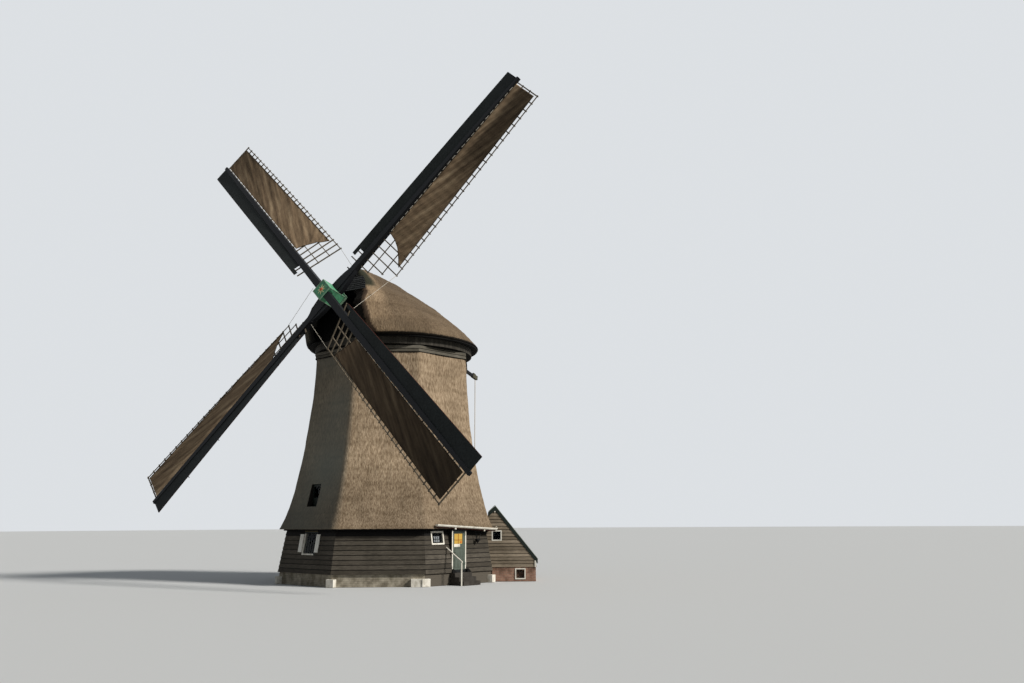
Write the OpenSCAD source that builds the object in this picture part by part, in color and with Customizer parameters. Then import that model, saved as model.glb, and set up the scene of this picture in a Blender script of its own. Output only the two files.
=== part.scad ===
// Thatched octagonal smock mill on a low boarded base: four sails, a turning thatched cap,
// a battered weatherboard base with a lean-to annex, and a front door up three steps.
// The origin is the centre of the octagon at ground level. The plain front facet faces -Y,
// the door facet is turned 45 degrees to the right of it and the annex stands on the +X side.

/* [Base] */
// Corner radius of the boarded walls at their foot
wall_foot_r = 5080; // [5000:10:5160]
// Corner radius of the boarded walls at the thatch edge
wall_head_r = 4750; // [4700:10:4780]
// Height of the masonry plinth
plinth_h = 500; // [400:10:520]
// Thickness of the boarded walls
wall_t = 120; // [80:10:140]

/* [Thatched tower] */
// Height of the lower thatch edge above the ground
skirt_z = 2330; // [2300:10:2360]
// Corner radius of the lower thatch edge
skirt_r = 5130; // [5110:10:5150]
// Height of the upper thatch edge
neck_z = 10050; // [9950:10:10050]
// Corner radius of the upper thatch edge
neck_r = 3740; // [3700:10:3760]
// How strongly the thatch flares towards the skirt
flare_power = 1.75; // [1.6:0.05:2.0]
// Extra flare at the very foot of the thatch
skirt_kick = 200; // [160:10:220]
// Thickness of the thatch, measured level
thatch_t = 260; // [200:10:270]

/* [Cap] */
// Direction that the cap faces, turned from -Y
cap_yaw = -34; // [-40:1:-28]
// Eave radius of the cap
eave_r = 4120; // [4080:10:4200]
// Height of the cap's eave
eave_z = 10750; // [10750:10:10800]
// Height of the ridge
ridge_z = 14200; // [14000:50:14300]
// Thickness of the cap's thatch
cap_thatch_t = 280; // [240:10:300]

/* [Sails] */
// Length of a sail from the hub to its tip
sail_r = 12640; // [12500:20:12660]
// Tilt of the windshaft above level
shaft_tilt = 13; // [12.5:0.5:14]
// Distance of the hub in front of the tower's centre
hub_s = 4400; // [4350:10:4500]
// Height of the hub
hub_z = 12550; // [12500:10:12650]
// Angle of the first sail from upright, seen from the front
sail_clock = 47; // [40:0.1:50]
// Distance between the planes of the two stocks
stock_gap = 500; // [480:10:520]
// Weather angle of a sail at its heel
weather_heel = 21.5; // [18:0.5:22]
// Weather angle of a sail at its tip
weather_tip = 2.5; // [1:0.5:4]
// Width of the lattice at its heel
lattice_w_heel = 1800; // [1700:10:1850]
// Width of the lattice at its tip
lattice_w_tip = 1600; // [1500:10:1650]
// Number of bars in one lattice
bar_count = 28; // [20:1:30]

/* [Hidden] */

// Half the angle of one facet, and the share of a corner radius that a facet reaches
facet_half = 22.5;
flat = cos(facet_half);
wedge_reach = 8000;
clear = 5000;
// Play between pieces that meet face to face
play = 0.5;

// Facet angles, turned from the front facet towards +X
door_facet = 45;
annex_facet = 90;
window_facet = -45;
back_window_facet = 135;

// Wall plate under the thatch edge
plate_h = 60;
plate_out = 150;
wall_fall = (wall_foot_r - wall_head_r) * flat / (skirt_z - plinth_h);
batter = atan(wall_fall);
function wall_u(z) = wall_foot_r * flat - wall_fall * (z - plinth_h);

// Flared outline of the thatch, as level distances from the centre to a facet
thatch_steps = 10;
thatch_spread = 1.5;
kick_power = 12;
function thatch_share(z) = (neck_z - z) / (neck_z - skirt_z);
function thatch_u(z) = flat * (
    neck_r
    + (skirt_r - skirt_kick - neck_r) * pow(thatch_share(z), flare_power)
    + skirt_kick * pow(thatch_share(z), kick_power)
);
function thatch_z(i) = skirt_z + (neck_z - skirt_z) * pow(i / thatch_steps, thatch_spread);

// Floor between the boarded room and the thatched tower
floor_t = 80;
hatch = 900;

// Plinth and corner piers
plinth_r = 5020;
pier_w = 360;
pier_depth = 420;
pier_out = 5170;
pier_h = 320;

// Doorway, as places along the door facet
door_left = -450;
door_right = 380;
door_sill = 610;
door_top = 2300;
post_w = 55;
frame_out = 4660;
frame_deep = 360;
leaf_gap = 6;
leaf_t = 45;
leaf_out = 4655;
leaf_x0 = door_left + post_w + leaf_gap;
leaf_x1 = door_right - post_w - leaf_gap;
leaf_z0 = door_sill + leaf_gap;
leaf_z1 = door_top - post_w - leaf_gap;
door_hinge = [322, 4672];
door_hinge_r = 7;
door_hinge_h = 120;
door_hinge_z = [800, 2040];
door_strap = 60;
pane_x = [-310, 170];
pane_z = [1690, 2120];
pane_t = 12;

// Steps, handrail, gutter and lantern at the door
step_count = 3;
step_run = 260;
step_w = 1000;
step_x = -35;
newel_u = 5470;
newel_x = -660;
newel_h = 940;
rail_wall_z = 1530;
rail_w = 50;
gutter_x = [-1500, 2060];
gutter_z = 2520;
gutter_drop = 190;
gutter_r = 90;
gutter_gap = 10;
gutter_t = 8;
lantern_x = 1090;
lantern_u = 4645;
lantern_r = 205;
lantern_point_r = 15;
lantern_top = 1855;
lantern_bottom = 1665;
lantern_bar = 24;
lantern_bar_feet = [1030, 1160];
lantern_bar_heads = [1000, 1370];
lantern_rail_z = 2210;

// Windows: place along the facet, height of the middle up the wall, width and height
big_window = [105, 1740, 950, 980];
small_window = [-1110, 1950, 720, 560];
window_frame_w = 60;
frame_proud = 25;
glass_t = 10;
shutter_w = 240;
shutter_h = 760;
shutter_t = 35;
shutter_gap = 15;
shutter_hinge_r = 12;
shutter_hinge_h = 70;
shutter_hinge_z = [-270, 200];
thatch_window = [-100, 3300, 700, 970];
thatch_frame_u = [3980, 4045];
thatch_pane_z = [3680, 4160];
small_frame_w = 50;

// Annex: outline across the annex, from the tower outwards
annex_half = 1550;
annex_ridge = [4830, 3300];
annex_slope = 51;
annex_eave_x = 6740;
annex_wall_x = 6650;
annex_wall_t = 100;
annex_plinth_h = 620;
annex_roof_t = 80;
annex_inner = [4520, 3020];
annex_door_w = 800;
annex_door_z = [640, 2080];
annex_window_x = [4680, 5130];
annex_window_z = [1770, 2230];
cellar_window_x = [5720, 6190];
cellar_window_z = [90, 570];
cellar_recess = 110;
barge_t = 40;
barge_h = 190;
barge_inner = [4535, 3033];
function annex_roof_z(x) = annex_ridge[1] - (x - annex_ridge[0]) * tan(annex_slope);

// Curb and cap
curb_h = 330;
curb_t = 130;
curb_r = 3750;
curb_slot_x = [-1150, 950];
curb_slot_z = [10250, 10305];
curb_slot_deep = 60;
cap_gap = 10;
ring_z0 = neck_z + curb_h + cap_gap;
ring_r = 3700;
ring_t = 300;
soffit_t = 50;
soffit_in = 3350;
soffit_out = 4000;
ring_fn = 96;
ring_z1 = eave_z - soffit_t;
cap_fn = 48;
slice_h = 2;
slice_least_r = 40;
// Height, radius, and the two centres of each rounded slice, behind and in front
cap_slices = [
    [eave_z, eave_r, 0, 0],
    [11400, 3585, 225, 955],
    [12100, 2865, 215, 1690],
    [12800, 2030, 140, 2530],
    [13400, 1205, 130, 2940],
    [13850, 595, 130, 3200],
    [ridge_z - slice_h, 120, 130, 3400]
];
// Front edge of the cap's thatch, as distances in front of the tower's axis and heights
verge_line = [
    [3550, 10600], [3650, 10750], [4040, 11300], [4080, 12100], [3970, 12900], [3600, 13500],
    [3200, 14400]
];
gable_s = 3920;
gable_inset = 90;
gable_deep = 560;
gable_t = 60;
gable_step_z = 12850;
gable_play = 4;
shaft_hole_r = 520;

// Timber under the windshaft: two beams along the cap and one block under each end
beam_x = 700;
beam_w = 220;
beam_h = 260;
beam_y = [-3240, 3040];
block_half = 1100;
neck_block_y = [-2800, -2400];
neck_block_h = 1500;
tail_block_y = [1500, 1850];
tail_block_h = 500;

// Windshaft, poll end and stocks, in the frame of the hub
shaft_r = 290;
shaft_tail = 6900;
shaft_play = 2;
shaft_past = 500;
poll_w = 720;
poll_back = -420;
poll_front = 680;
stock_w = 330;
stock_t = 300;
stock_tip_w = 170;
stock_tip_t = 150;

// Curved cheeks that widen the inner stock beside the poll end
cheek_r = [370, 1600];
cheek_w = 200;
cheek_t = 220;
cheek_steps = 8;

// Lattice, leading boards and cloth
lattice_r0 = 1900;
lattice_r1 = 12440;
bar_w = 50;
bar_t = 40;
bar_hidden = 60;
bar_end = 60;
lath_count = 3;
lath_w = 40;
lath_t = 30;
lath_runs = 3;
lath_lap = 12;
lath_end = 40;
board_r0 = 2050;
board_heel_w = 600;
board_tip_w = 750;
board_t = 22;
board_runs = 6;
board_end = 60;
board_play = 35;
board_notch_w = 230;
board_notch_r = 2420;
cloth_r1 = 12360;
cloth_t = 12;
cloth_runs = 9;
cloth_strips = 6;
cloth_gap = 3;
cloth_side = 150;
cloth_lace = 60;
// Heel of each cloth: radius at the stock, at the outer edge, and how far its middle is drawn back
cloth_heels = [[3600, 2700, 100], [4150, 3000, 100], [3550, 2650, 20], [3850, 3000, 200]];
function weather(r) =
    weather_heel + (weather_tip - weather_heel) * (r - lattice_r0) / (sail_r - lattice_r0);
function lattice_w(r) =
    lattice_w_heel + (lattice_w_tip - lattice_w_heel) * (r - lattice_r0) / (sail_r - lattice_r0);
function board_w(r) =
    board_heel_w + (board_tip_w - board_heel_w) * (r - board_r0) / (sail_r - board_r0);
function stock_half(r) = (stock_w + (stock_tip_w - stock_w) * r / sail_r) / 2;
function cheek_at(i) = cheek_r[0] + (cheek_r[1] - cheek_r[0]) * i / cheek_steps;
function cheek_half(i) = stock_half(cheek_at(i)) + cheek_w * (1 - pow(i / cheek_steps, 2));
function bar_r(i) = lattice_r0 + (lattice_r1 - lattice_r0) * i / (bar_count - 1);
// Point on a sail: r along the stock, across towards the trailing edge, lift in front
function sail_point(r, across, lift) = [
    across * cos(weather(r)) + lift * sin(weather(r)),
    r,
    -across * sin(weather(r)) + lift * cos(weather(r))
];

// Brake lever and its rope, in the frame of the cap
lever_x = 1050;
lever_s = [-2900, -5500];
lever_z = [10715, 9980];
lever_w = 120;
lever_h = 160;
rope_r = 16;
rope_sides = 8;
rope_points = [
    [1050, 5340, 9900], [1050, 5340, 9600], [1049, 5341, 9100], [1047, 5342, 8600],
    [1046, 5342, 8100], [1045, 5340, 7600], [1046, 5338, 7100], [1048, 5336, 6600],
    [1050, 5335, 6100], [1052, 5336, 5600], [1053, 5338, 5100], [1052, 5340, 4700],
    [1050, 5342, 4300], [1047, 5343, 3950], [1045, 5342, 3600]
];

// Turns a piece from the front facet to another facet
module facet(angle) {
    rotate([0, 0, angle])
        children();
}

// Octagonal prism with a flat facing the front
module octagon(r, z0, z1) {
    translate([0, 0, z0])
        rotate([0, 0, facet_half])
            cylinder(r = r, h = z1 - z0, $fn = 8);
}

// Outline of outward and upward distances, run along a facet and mitred at its corners
module facet_panel(outline) {
    intersection() {
        rotate([90, 0, -90])
            linear_extrude(wedge_reach, center = true)
                polygon(outline);
        linear_extrude(ridge_z)
            polygon([
                [0, -2 * play],
                [-wedge_reach * tan(facet_half), -wedge_reach - 2 * play],
                [wedge_reach * tan(facet_half), -wedge_reach - 2 * play]
            ]);
    }
}

// Block on the front facet: along the facet, outward and upward
module facet_block(x, u, z) {
    translate([x[0], -u[1], z[0]])
        cube([x[1] - x[0], u[1] - u[0], z[1] - z[0]]);
}

// Block between two places along each of X, Y and Z
module across_block(x, y, z) {
    translate([x[0], y[0], z[0]])
        cube([x[1] - x[0], y[1] - y[0], z[1] - z[0]]);
}

// Moves a piece to the outer face of the battered wall
module on_wall(x, z) {
    translate([x, -wall_u(z), z])
        rotate([-batter, 0, 0])
            children();
}

// Opening through a battered wall for a window
module window_hole(w) {
    on_wall(w[0], w[1])
        translate([-w[2] / 2, -wall_t, -w[3] / 2])
            cube([w[2], 4 * wall_t, w[3]]);
}

// Frame of a window, seated in its opening
module window_frame(width, height, deep) {
    difference() {
        translate([-width / 2, -frame_proud, -height / 2])
            cube([width, deep, height]);
        translate([-width / 2 + window_frame_w, -2 * frame_proud, -height / 2 + window_frame_w])
            cube([width - 2 * window_frame_w, 2 * deep, height - 2 * window_frame_w]);
    }
}

// Frame of an upright window in the annex, and of the panes behind it
module annex_frame(x, z, deep) {
    difference() {
        across_block(x, [-annex_half - frame_proud, -annex_half + deep], z);
        across_block(
            [x[0] + small_frame_w, x[1] - small_frame_w],
            [-annex_half - 2 * frame_proud, -annex_half + 2 * deep],
            [z[0] + small_frame_w, z[1] - small_frame_w]
        );
    }
}

module annex_pane(x, z) {
    across_block(
        [x[0] + small_frame_w, x[1] - small_frame_w],
        [-annex_half + glass_t, -annex_half + 2 * glass_t],
        [z[0] + small_frame_w, z[1] - small_frame_w]
    );
}

// Upright window across the opening in the thatch, with a closed panel below it
module thatch_frame() {
    x = [thatch_window[0] - thatch_window[2] / 2, thatch_window[0] + thatch_window[2] / 2];
    difference() {
        facet_block(x, thatch_frame_u, [thatch_window[1], thatch_window[1] + thatch_window[3]]);
        facet_block(
            [x[0] + window_frame_w, x[1] - window_frame_w],
            [0, clear],
            [thatch_pane_z[0], thatch_pane_z[1]]
        );
    }
}

module thatch_pane() {
    x = [thatch_window[0] - thatch_window[2] / 2, thatch_window[0] + thatch_window[2] / 2];
    facet_block(
        [x[0] + window_frame_w, x[1] - window_frame_w],
        [thatch_frame_u[0] + glass_t, thatch_frame_u[0] + 2 * glass_t],
        [thatch_pane_z[0], thatch_pane_z[1]]
    );
}

// Pane that fills a window frame
module window_pane(width, height) {
    translate([-width / 2 + window_frame_w, 2 * glass_t, -height / 2 + window_frame_w])
        cube([width - 2 * window_frame_w, glass_t, height - 2 * window_frame_w]);
}

// Boarded wall of one facet, from the plinth up to the plate that carries the thatch edge
module wall_panel() {
    z_plate = skirt_z - plate_h;
    facet_panel([
        [wall_u(plinth_h), plinth_h + play],
        [wall_u(z_plate), z_plate],
        [wall_u(skirt_z) + plate_out, z_plate],
        [wall_u(skirt_z) + plate_out, skirt_z - play],
        [wall_u(skirt_z) - wall_t, skirt_z - play],
        [wall_u(plinth_h) - wall_t, plinth_h + play]
    ]);
}

module pier_blocks() {
    for (i = [0:7])
        rotate([0, 0, facet_half + 45 * i])
            translate([-pier_w / 2, -pier_out, 0])
                cube([pier_w, pier_depth, pier_h]);
}

module plinth() {
    color("dimgray")
        difference() {
            octagon(plinth_r, 0, plinth_h);
            pier_blocks();
        }
}

module corner_piers() {
    color("gainsboro")
        pier_blocks();
}

module wall_front() {
    color("#2b2724")
        wall_panel();
}

module wall_front_left() {
    color("#2b2724")
        facet(window_facet)
            difference() {
                wall_panel();
                window_hole(big_window);
            }
}

module wall_left() {
    color("#2b2724")
        facet(-90)
            wall_panel();
}

module wall_back_left() {
    color("#2b2724")
        facet(-135)
            wall_panel();
}

module wall_back() {
    color("#2b2724")
        facet(180)
            wall_panel();
}

module wall_back_right() {
    color("#2b2724")
        facet(back_window_facet)
            difference() {
                wall_panel();
                window_hole(big_window);
            }
}

module wall_right() {
    color("#2b2724")
        facet(annex_facet)
            difference() {
                wall_panel();
                facet_block([-annex_door_w / 2, annex_door_w / 2], [0, clear], annex_door_z);
            }
}

module door_wall_left() {
    color("#2b2724")
        facet(door_facet)
            difference() {
                wall_panel();
                facet_block([door_left - play, clear], [0, clear], [0, clear]);
                window_hole(small_window);
            }
}

module door_wall_right() {
    color("#2b2724")
        facet(door_facet)
            difference() {
                wall_panel();
                facet_block([-clear, door_right + play], [0, clear], [0, clear]);
            }
}

module door_wall_head() {
    color("#2b2724")
        facet(door_facet)
            intersection() {
                wall_panel();
                facet_block([door_left, door_right], [0, clear], [door_top + play, clear]);
            }
}

module loft_floor() {
    color("saddlebrown")
        difference() {
            octagon((wall_u(skirt_z) - floor_t / 2) / flat, skirt_z + play, skirt_z + floor_t);
            translate([-hatch / 2, -hatch / 2, 0])
                cube([hatch, hatch, clear]);
        }
}

// Thatch of one facet, flared out towards the skirt
module thatch_panel() {
    outer = [for (i = [0:thatch_steps]) [thatch_u(thatch_z(i)), thatch_z(i)]];
    inner = [for (i = [thatch_steps:-1:0]) [thatch_u(thatch_z(i)) - thatch_t, thatch_z(i)]];
    facet_panel(concat(outer, inner));
}

// Thatch of one facet with a window cut into it
module thatch_with_window() {
    difference() {
        thatch_panel();
        facet_block(
            [thatch_window[0] - thatch_window[2] / 2, thatch_window[0] + thatch_window[2] / 2],
            [0, clear],
            [thatch_window[1], thatch_window[1] + thatch_window[3]]
        );
    }
}

module thatch_front() {
    color("#7d6b55")
        thatch_panel();
}

module thatch_front_right() {
    color("#7d6b55")
        facet(door_facet)
            thatch_panel();
}

module thatch_right() {
    color("#7d6b55")
        facet(annex_facet)
            thatch_panel();
}

module thatch_back_right() {
    color("#7d6b55")
        facet(back_window_facet)
            thatch_with_window();
}

module thatch_back() {
    color("#7d6b55")
        facet(180)
            thatch_panel();
}

module thatch_back_left() {
    color("#7d6b55")
        facet(-135)
            thatch_panel();
}

module thatch_left() {
    color("#7d6b55")
        facet(-90)
            thatch_panel();
}

module thatch_front_left() {
    color("#7d6b55")
        facet(window_facet)
            thatch_with_window();
}

module curb_boards() {
    color("lightgray")
        difference() {
            octagon(curb_r, neck_z + play, neck_z + curb_h);
            octagon(curb_r - curb_t / flat, neck_z - 1, neck_z + curb_h + 1);
            facet(door_facet)
                facet_block(curb_slot_x, [curb_r * flat - curb_slot_deep, clear], curb_slot_z);
        }
}

module door_frame() {
    color("ivory")
        facet(door_facet)
            difference() {
                facet_block(
                    [door_left, door_right],
                    [frame_out - frame_deep, frame_out],
                    [plinth_h + play, door_top]
                );
                facet_block(
                    [door_left + post_w, door_right - post_w],
                    [0, clear],
                    [door_sill, door_top - post_w]
                );
            }
}

module door_leaf() {
    color("#1f3d33")
        facet(door_facet)
            difference() {
                facet_block([leaf_x0, leaf_x1], [leaf_out - leaf_t, leaf_out], [leaf_z0, leaf_z1]);
                facet_block(pane_x, [0, clear], pane_z);
            }
    color("#1f3d33")
        facet(door_facet)
            for (z = door_hinge_z) {
                translate([door_hinge[0], -door_hinge[1], z])
                    cylinder(r = door_hinge_r, h = door_hinge_h);
                facet_block(
                    [leaf_x1 - door_strap, door_hinge[0]],
                    [leaf_out, door_hinge[1]],
                    [z, z + door_hinge_h]
                );
            }
}

module door_glass() {
    color("goldenrod")
        facet(door_facet)
            facet_block(
                pane_x,
                [leaf_out - leaf_t / 2 - pane_t / 2, leaf_out - leaf_t / 2 + pane_t / 2],
                pane_z
            );
}

// Half-round gutter under the thatch edge, falling to one side
module gutter() {
    run = gutter_x[1] - gutter_x[0];
    fall = atan(gutter_drop / run);
    color("ivory")
        facet(door_facet)
            translate([gutter_x[0], -skirt_r * flat - gutter_r - gutter_gap, gutter_z])
                rotate([0, 90 + fall, 0])
                    difference() {
                        cylinder(r = gutter_r, h = run / cos(fall));
                        translate([0, 0, gutter_t])
                            cylinder(r = gutter_r - gutter_t, h = run / cos(fall) - 2 * gutter_t);
                        translate([-2 * gutter_r, -2 * gutter_r, -1])
                            cube([2 * gutter_r, 4 * gutter_r, run]);
                    }
}

// Three steps up to the door sill
module stair() {
    color("#3a3733")
        facet(door_facet)
            for (i = [0:step_count - 1])
                facet_block(
                    [step_x - step_w / 2, step_x + step_w / 2],
                    [wall_foot_r * flat + step_run * i, wall_foot_r * flat + step_run * (i + 1)],
                    [0, plinth_h - (plinth_h / step_count) * i]
                );
}

module handrail() {
    color("ivory")
        facet(door_facet) {
            facet_block(
                [newel_x - rail_w / 2, newel_x + rail_w / 2],
                [newel_u - rail_w / 2, newel_u + rail_w / 2],
                [0, newel_h]
            );
            rotate([90, 0, -90])
                translate([0, 0, -newel_x - rail_w / 2])
                    linear_extrude(rail_w)
                        polygon([
                            [wall_u(rail_wall_z) + play, rail_wall_z],
                            [newel_u + rail_w, newel_h],
                            [newel_u + rail_w, newel_h + rail_w],
                            [wall_u(rail_wall_z + rail_w) + play, rail_wall_z + rail_w]
                        ]);
        }
}

// Pointed lantern, hung by two bars from a rail on the boards
module lantern() {
    half = lantern_bar / 2;
    color("black")
        facet(door_facet) {
            translate([lantern_x, -lantern_u, lantern_bottom])
                rotate([0, 0, 45])
                    cylinder(
                        r1 = lantern_point_r,
                        r2 = lantern_r,
                        h = lantern_top - lantern_bottom,
                        $fn = 4
                    );
            for (i = [0, 1])
                translate([0, -lantern_u, 0])
                    rotate([90, 0, 0])
                        linear_extrude(lantern_bar, center = true)
                            polygon([
                                [lantern_bar_feet[i] - half, lantern_top - lantern_bar],
                                [lantern_bar_feet[i] + half, lantern_top - lantern_bar],
                                [lantern_bar_heads[i] + half, lantern_rail_z],
                                [lantern_bar_heads[i] - half, lantern_rail_z]
                            ]);
            facet_block(
                [lantern_bar_heads[0] - half, lantern_bar_heads[1] + half],
                [wall_u(lantern_rail_z - lantern_bar) + play, lantern_u + half],
                [lantern_rail_z - lantern_bar, lantern_rail_z]
            );
        }
}

module window_frames() {
    color("ivory") {
        for (angle = [window_facet, back_window_facet])
            facet(angle)
                on_wall(big_window[0], big_window[1])
                    window_frame(big_window[2], big_window[3], wall_t);
        facet(door_facet)
            on_wall(small_window[0], small_window[1])
                window_frame(small_window[2], small_window[3], wall_t);
        for (angle = [window_facet, back_window_facet])
            facet(angle)
                thatch_frame();
        annex_frame(annex_window_x, annex_window_z, annex_wall_t);
        annex_frame(cellar_window_x, cellar_window_z, cellar_recess);
    }
}

module window_glass() {
    color([0.3, 0.35, 0.38, 0.5]) {
        for (angle = [window_facet, back_window_facet])
            facet(angle)
                on_wall(big_window[0], big_window[1])
                    window_pane(big_window[2], big_window[3]);
        facet(door_facet)
            on_wall(small_window[0], small_window[1])
                window_pane(small_window[2], small_window[3]);
        for (angle = [window_facet, back_window_facet])
            facet(angle)
                thatch_pane();
        annex_pane(annex_window_x, annex_window_z);
        annex_pane(cellar_window_x, cellar_window_z);
    }
}

// Shutter lying open against the boards, side -1 left and 1 right of the big window
module shutter(side) {
    color("ivory")
        facet(window_facet)
            on_wall(big_window[0] + side * big_window[2] / 2, big_window[1])
                translate([0, -shutter_t / 2 - shutter_gap - frame_proud, 0]) {
                    translate([side * shutter_w / 2, 0, 0])
                        cube([shutter_w, shutter_t, shutter_h], center = true);
                    for (z = shutter_hinge_z)
                        translate([0, 0, z])
                            cylinder(r = shutter_hinge_r, h = shutter_hinge_h);
                }
}

module shutter_left() {
    shutter(-1);
}

module shutter_right() {
    shutter(1);
}

// Gable wall of the annex, seated against the battered base and under the skirt
module annex_gable(y) {
    joint = 5;
    z_plate = skirt_z - plate_h;
    translate([0, y, 0])
        rotate([90, 0, 0])
            linear_extrude(annex_wall_t, center = true)
                polygon([
                    [wall_u(annex_plinth_h) + joint, annex_plinth_h + play],
                    [wall_u(z_plate) + joint, z_plate - joint],
                    [wall_u(skirt_z) + plate_out + joint, z_plate - joint],
                    [wall_u(skirt_z) + plate_out + joint, skirt_z - joint],
                    [thatch_u(skirt_z) + 2 * joint, skirt_z - joint],
                    [annex_inner[0], annex_inner[1] - annex_roof_t - play],
                    [annex_ridge[0], annex_ridge[1] - 1.5 * annex_roof_t - play],
                    [annex_wall_x, annex_roof_z(annex_wall_x) - 1.5 * annex_roof_t - play],
                    [annex_wall_x, annex_plinth_h + play]
                ]);
}

module annex_plinth() {
    color("#8a4b3a")
        difference() {
            across_block(
                [wall_foot_r * flat + play, annex_wall_x],
                [-annex_half, annex_half],
                [0, annex_plinth_h]
            );
            across_block(cellar_window_x, [-2 * annex_half, -annex_half + cellar_recess], cellar_window_z);
        }
}

module annex_front_wall() {
    color("#2b2724")
        difference() {
            annex_gable(-annex_half + annex_wall_t / 2);
            across_block(annex_window_x, [-2 * annex_half, 0], annex_window_z);
        }
}

module annex_back_wall() {
    color("#2b2724")
        annex_gable(annex_half - annex_wall_t / 2);
}

module annex_eave_wall() {
    color("#2b2724")
        across_block(
            [annex_wall_x - annex_wall_t, annex_wall_x],
            [-annex_half + annex_wall_t + play, annex_half - annex_wall_t - play],
            [annex_plinth_h + play, annex_roof_z(annex_wall_x) - 1.5 * annex_roof_t - play]
        );
}

module annex_roof() {
    drop = 1.5 * annex_roof_t;
    color("#33302c")
        rotate([90, 0, 0])
            linear_extrude(2 * annex_half, center = true)
                polygon([
                    [annex_ridge[0], annex_ridge[1]],
                    [annex_eave_x, annex_roof_z(annex_eave_x)],
                    [annex_eave_x, annex_roof_z(annex_eave_x) - drop],
                    [annex_ridge[0], annex_ridge[1] - drop],
                    [annex_inner[0], annex_inner[1] - annex_roof_t],
                    [annex_inner[0], annex_inner[1]]
                ]);
}

module annex_barge_boards() {
    color("#14211c")
        for (side = [-1, 1])
            translate([0, side * (annex_half + play + barge_t / 2), 0])
                rotate([90, 0, 0])
                    linear_extrude(barge_t, center = true)
                        polygon([
                            [annex_ridge[0], annex_ridge[1]],
                            [annex_eave_x, annex_roof_z(annex_eave_x)],
                            [annex_eave_x, annex_roof_z(annex_eave_x) - barge_h],
                            [annex_ridge[0], annex_ridge[1] - barge_h],
                            [barge_inner[0], barge_inner[1] - barge_h],
                            [barge_inner[0], barge_inner[1]]
                        ]);
}

// Turns a piece with the cap
module cap_frame() {
    rotate([0, 0, cap_yaw])
        children();
}

// Rounded cap form: a round eave drawn up to a long ridge
module cap_form(shrink) {
    hull()
        for (s = cap_slices)
            for (c = [s[2], s[3]])
                translate([0, -c, s[0] - shrink])
                    cylinder(r = max(s[1] - shrink, slice_least_r), h = slice_h, $fn = cap_fn);
}

// Everything in front of a plane that leans back with the sails
module front_of(s) {
    translate([0, -s, eave_z])
        rotate([-shaft_tilt, 0, 0])
            translate([-clear, -clear, -clear])
                cube([2 * clear, clear, 3 * clear]);
}

// Everything in front of the curved front edge of the thatch
module front_of_verge() {
    last = len(verge_line) - 1;
    rotate([90, 0, -90])
        linear_extrude(4 * clear, center = true)
            polygon(concat(
                verge_line,
                [[2 * clear, verge_line[last][1]], [2 * clear, verge_line[0][1]]]
            ));
}

module cap_shell() {
    difference() {
        cap_form(0);
        cap_form(cap_thatch_t);
        front_of_verge();
    }
}

module cap_thatch_left() {
    color("#6f5a4a")
        cap_frame()
            intersection() {
                cap_shell();
                translate([-2 * clear, -clear, 0])
                    cube([2 * clear, 2 * clear, 4 * clear]);
            }
}

module cap_thatch_right() {
    color("#6f5a4a")
        cap_frame()
            intersection() {
                cap_shell();
                translate([0, -clear, 0])
                    cube([2 * clear, 2 * clear, 4 * clear]);
            }
}

// Axis of the windshaft, with its length along +Z from the hub forwards
module shaft_frame() {
    cap_frame()
        translate([0, -hub_s, hub_z])
            rotate([90 - shaft_tilt, 0, 0])
                children();
}

// Part of the cap's inside between two planes that lean back with the sails
module gable_slice(inset0, inset1, z0, z1) {
    difference() {
        intersection() {
            cap_form(cap_thatch_t + gable_play);
            translate([-clear, -clear, z0])
                cube([2 * clear, 2 * clear, z1 - z0]);
        }
        front_of(gable_s - inset0);
        difference() {
            translate([-2 * clear, -2 * clear, 0])
                cube([4 * clear, 4 * clear, 4 * clear]);
            front_of(gable_s - inset1);
        }
    }
}

// Boarded gable: the upper boards near the verge, the lower ones set back behind the shaft
module gable_boards() {
    color("#1c1a19")
        difference() {
            cap_frame() {
                gable_slice(gable_inset, gable_inset + gable_t, gable_step_z, ridge_z);
                gable_slice(gable_inset, gable_deep, gable_step_z - gable_t, gable_step_z);
                gable_slice(gable_deep - gable_t, gable_deep, eave_z, gable_step_z - gable_t);
            }
            shaft_frame()
                translate([0, 0, -clear])
                    cylinder(r = shaft_hole_r, h = clear);
        }
}

module brake_lever_solid() {
    cap_frame()
        translate([lever_x, 0, 0])
            rotate([90, 0, -90])
                translate([0, 0, -lever_w / 2])
                    linear_extrude(lever_w)
                        polygon([
                            [lever_s[0], lever_z[0] - lever_h / 2],
                            [lever_s[1], lever_z[1] - lever_h / 2],
                            [lever_s[1], lever_z[1] + lever_h / 2],
                            [lever_s[0], lever_z[0] + lever_h / 2]
                        ]);
}

module cap_ring() {
    color("#26211e")
        difference() {
            translate([0, 0, ring_z0])
                difference() {
                    cylinder(r = ring_r, h = ring_z1 - ring_z0, $fn = ring_fn);
                    translate([0, 0, -1])
                        cylinder(r = ring_r - ring_t, h = clear, $fn = ring_fn);
                }
            brake_lever_solid();
        }
}

module cap_soffit() {
    color("#1c1a19")
        difference() {
            cap_frame()
                difference() {
                    translate([0, 0, ring_z1])
                        cylinder(r = soffit_out, h = soffit_t, $fn = ring_fn);
                    translate([0, 0, ring_z1 - 1])
                        cylinder(r = soffit_in, h = 2 * soffit_t, $fn = ring_fn);
                    front_of_verge();
                }
            brake_lever_solid();
        }
}

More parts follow.
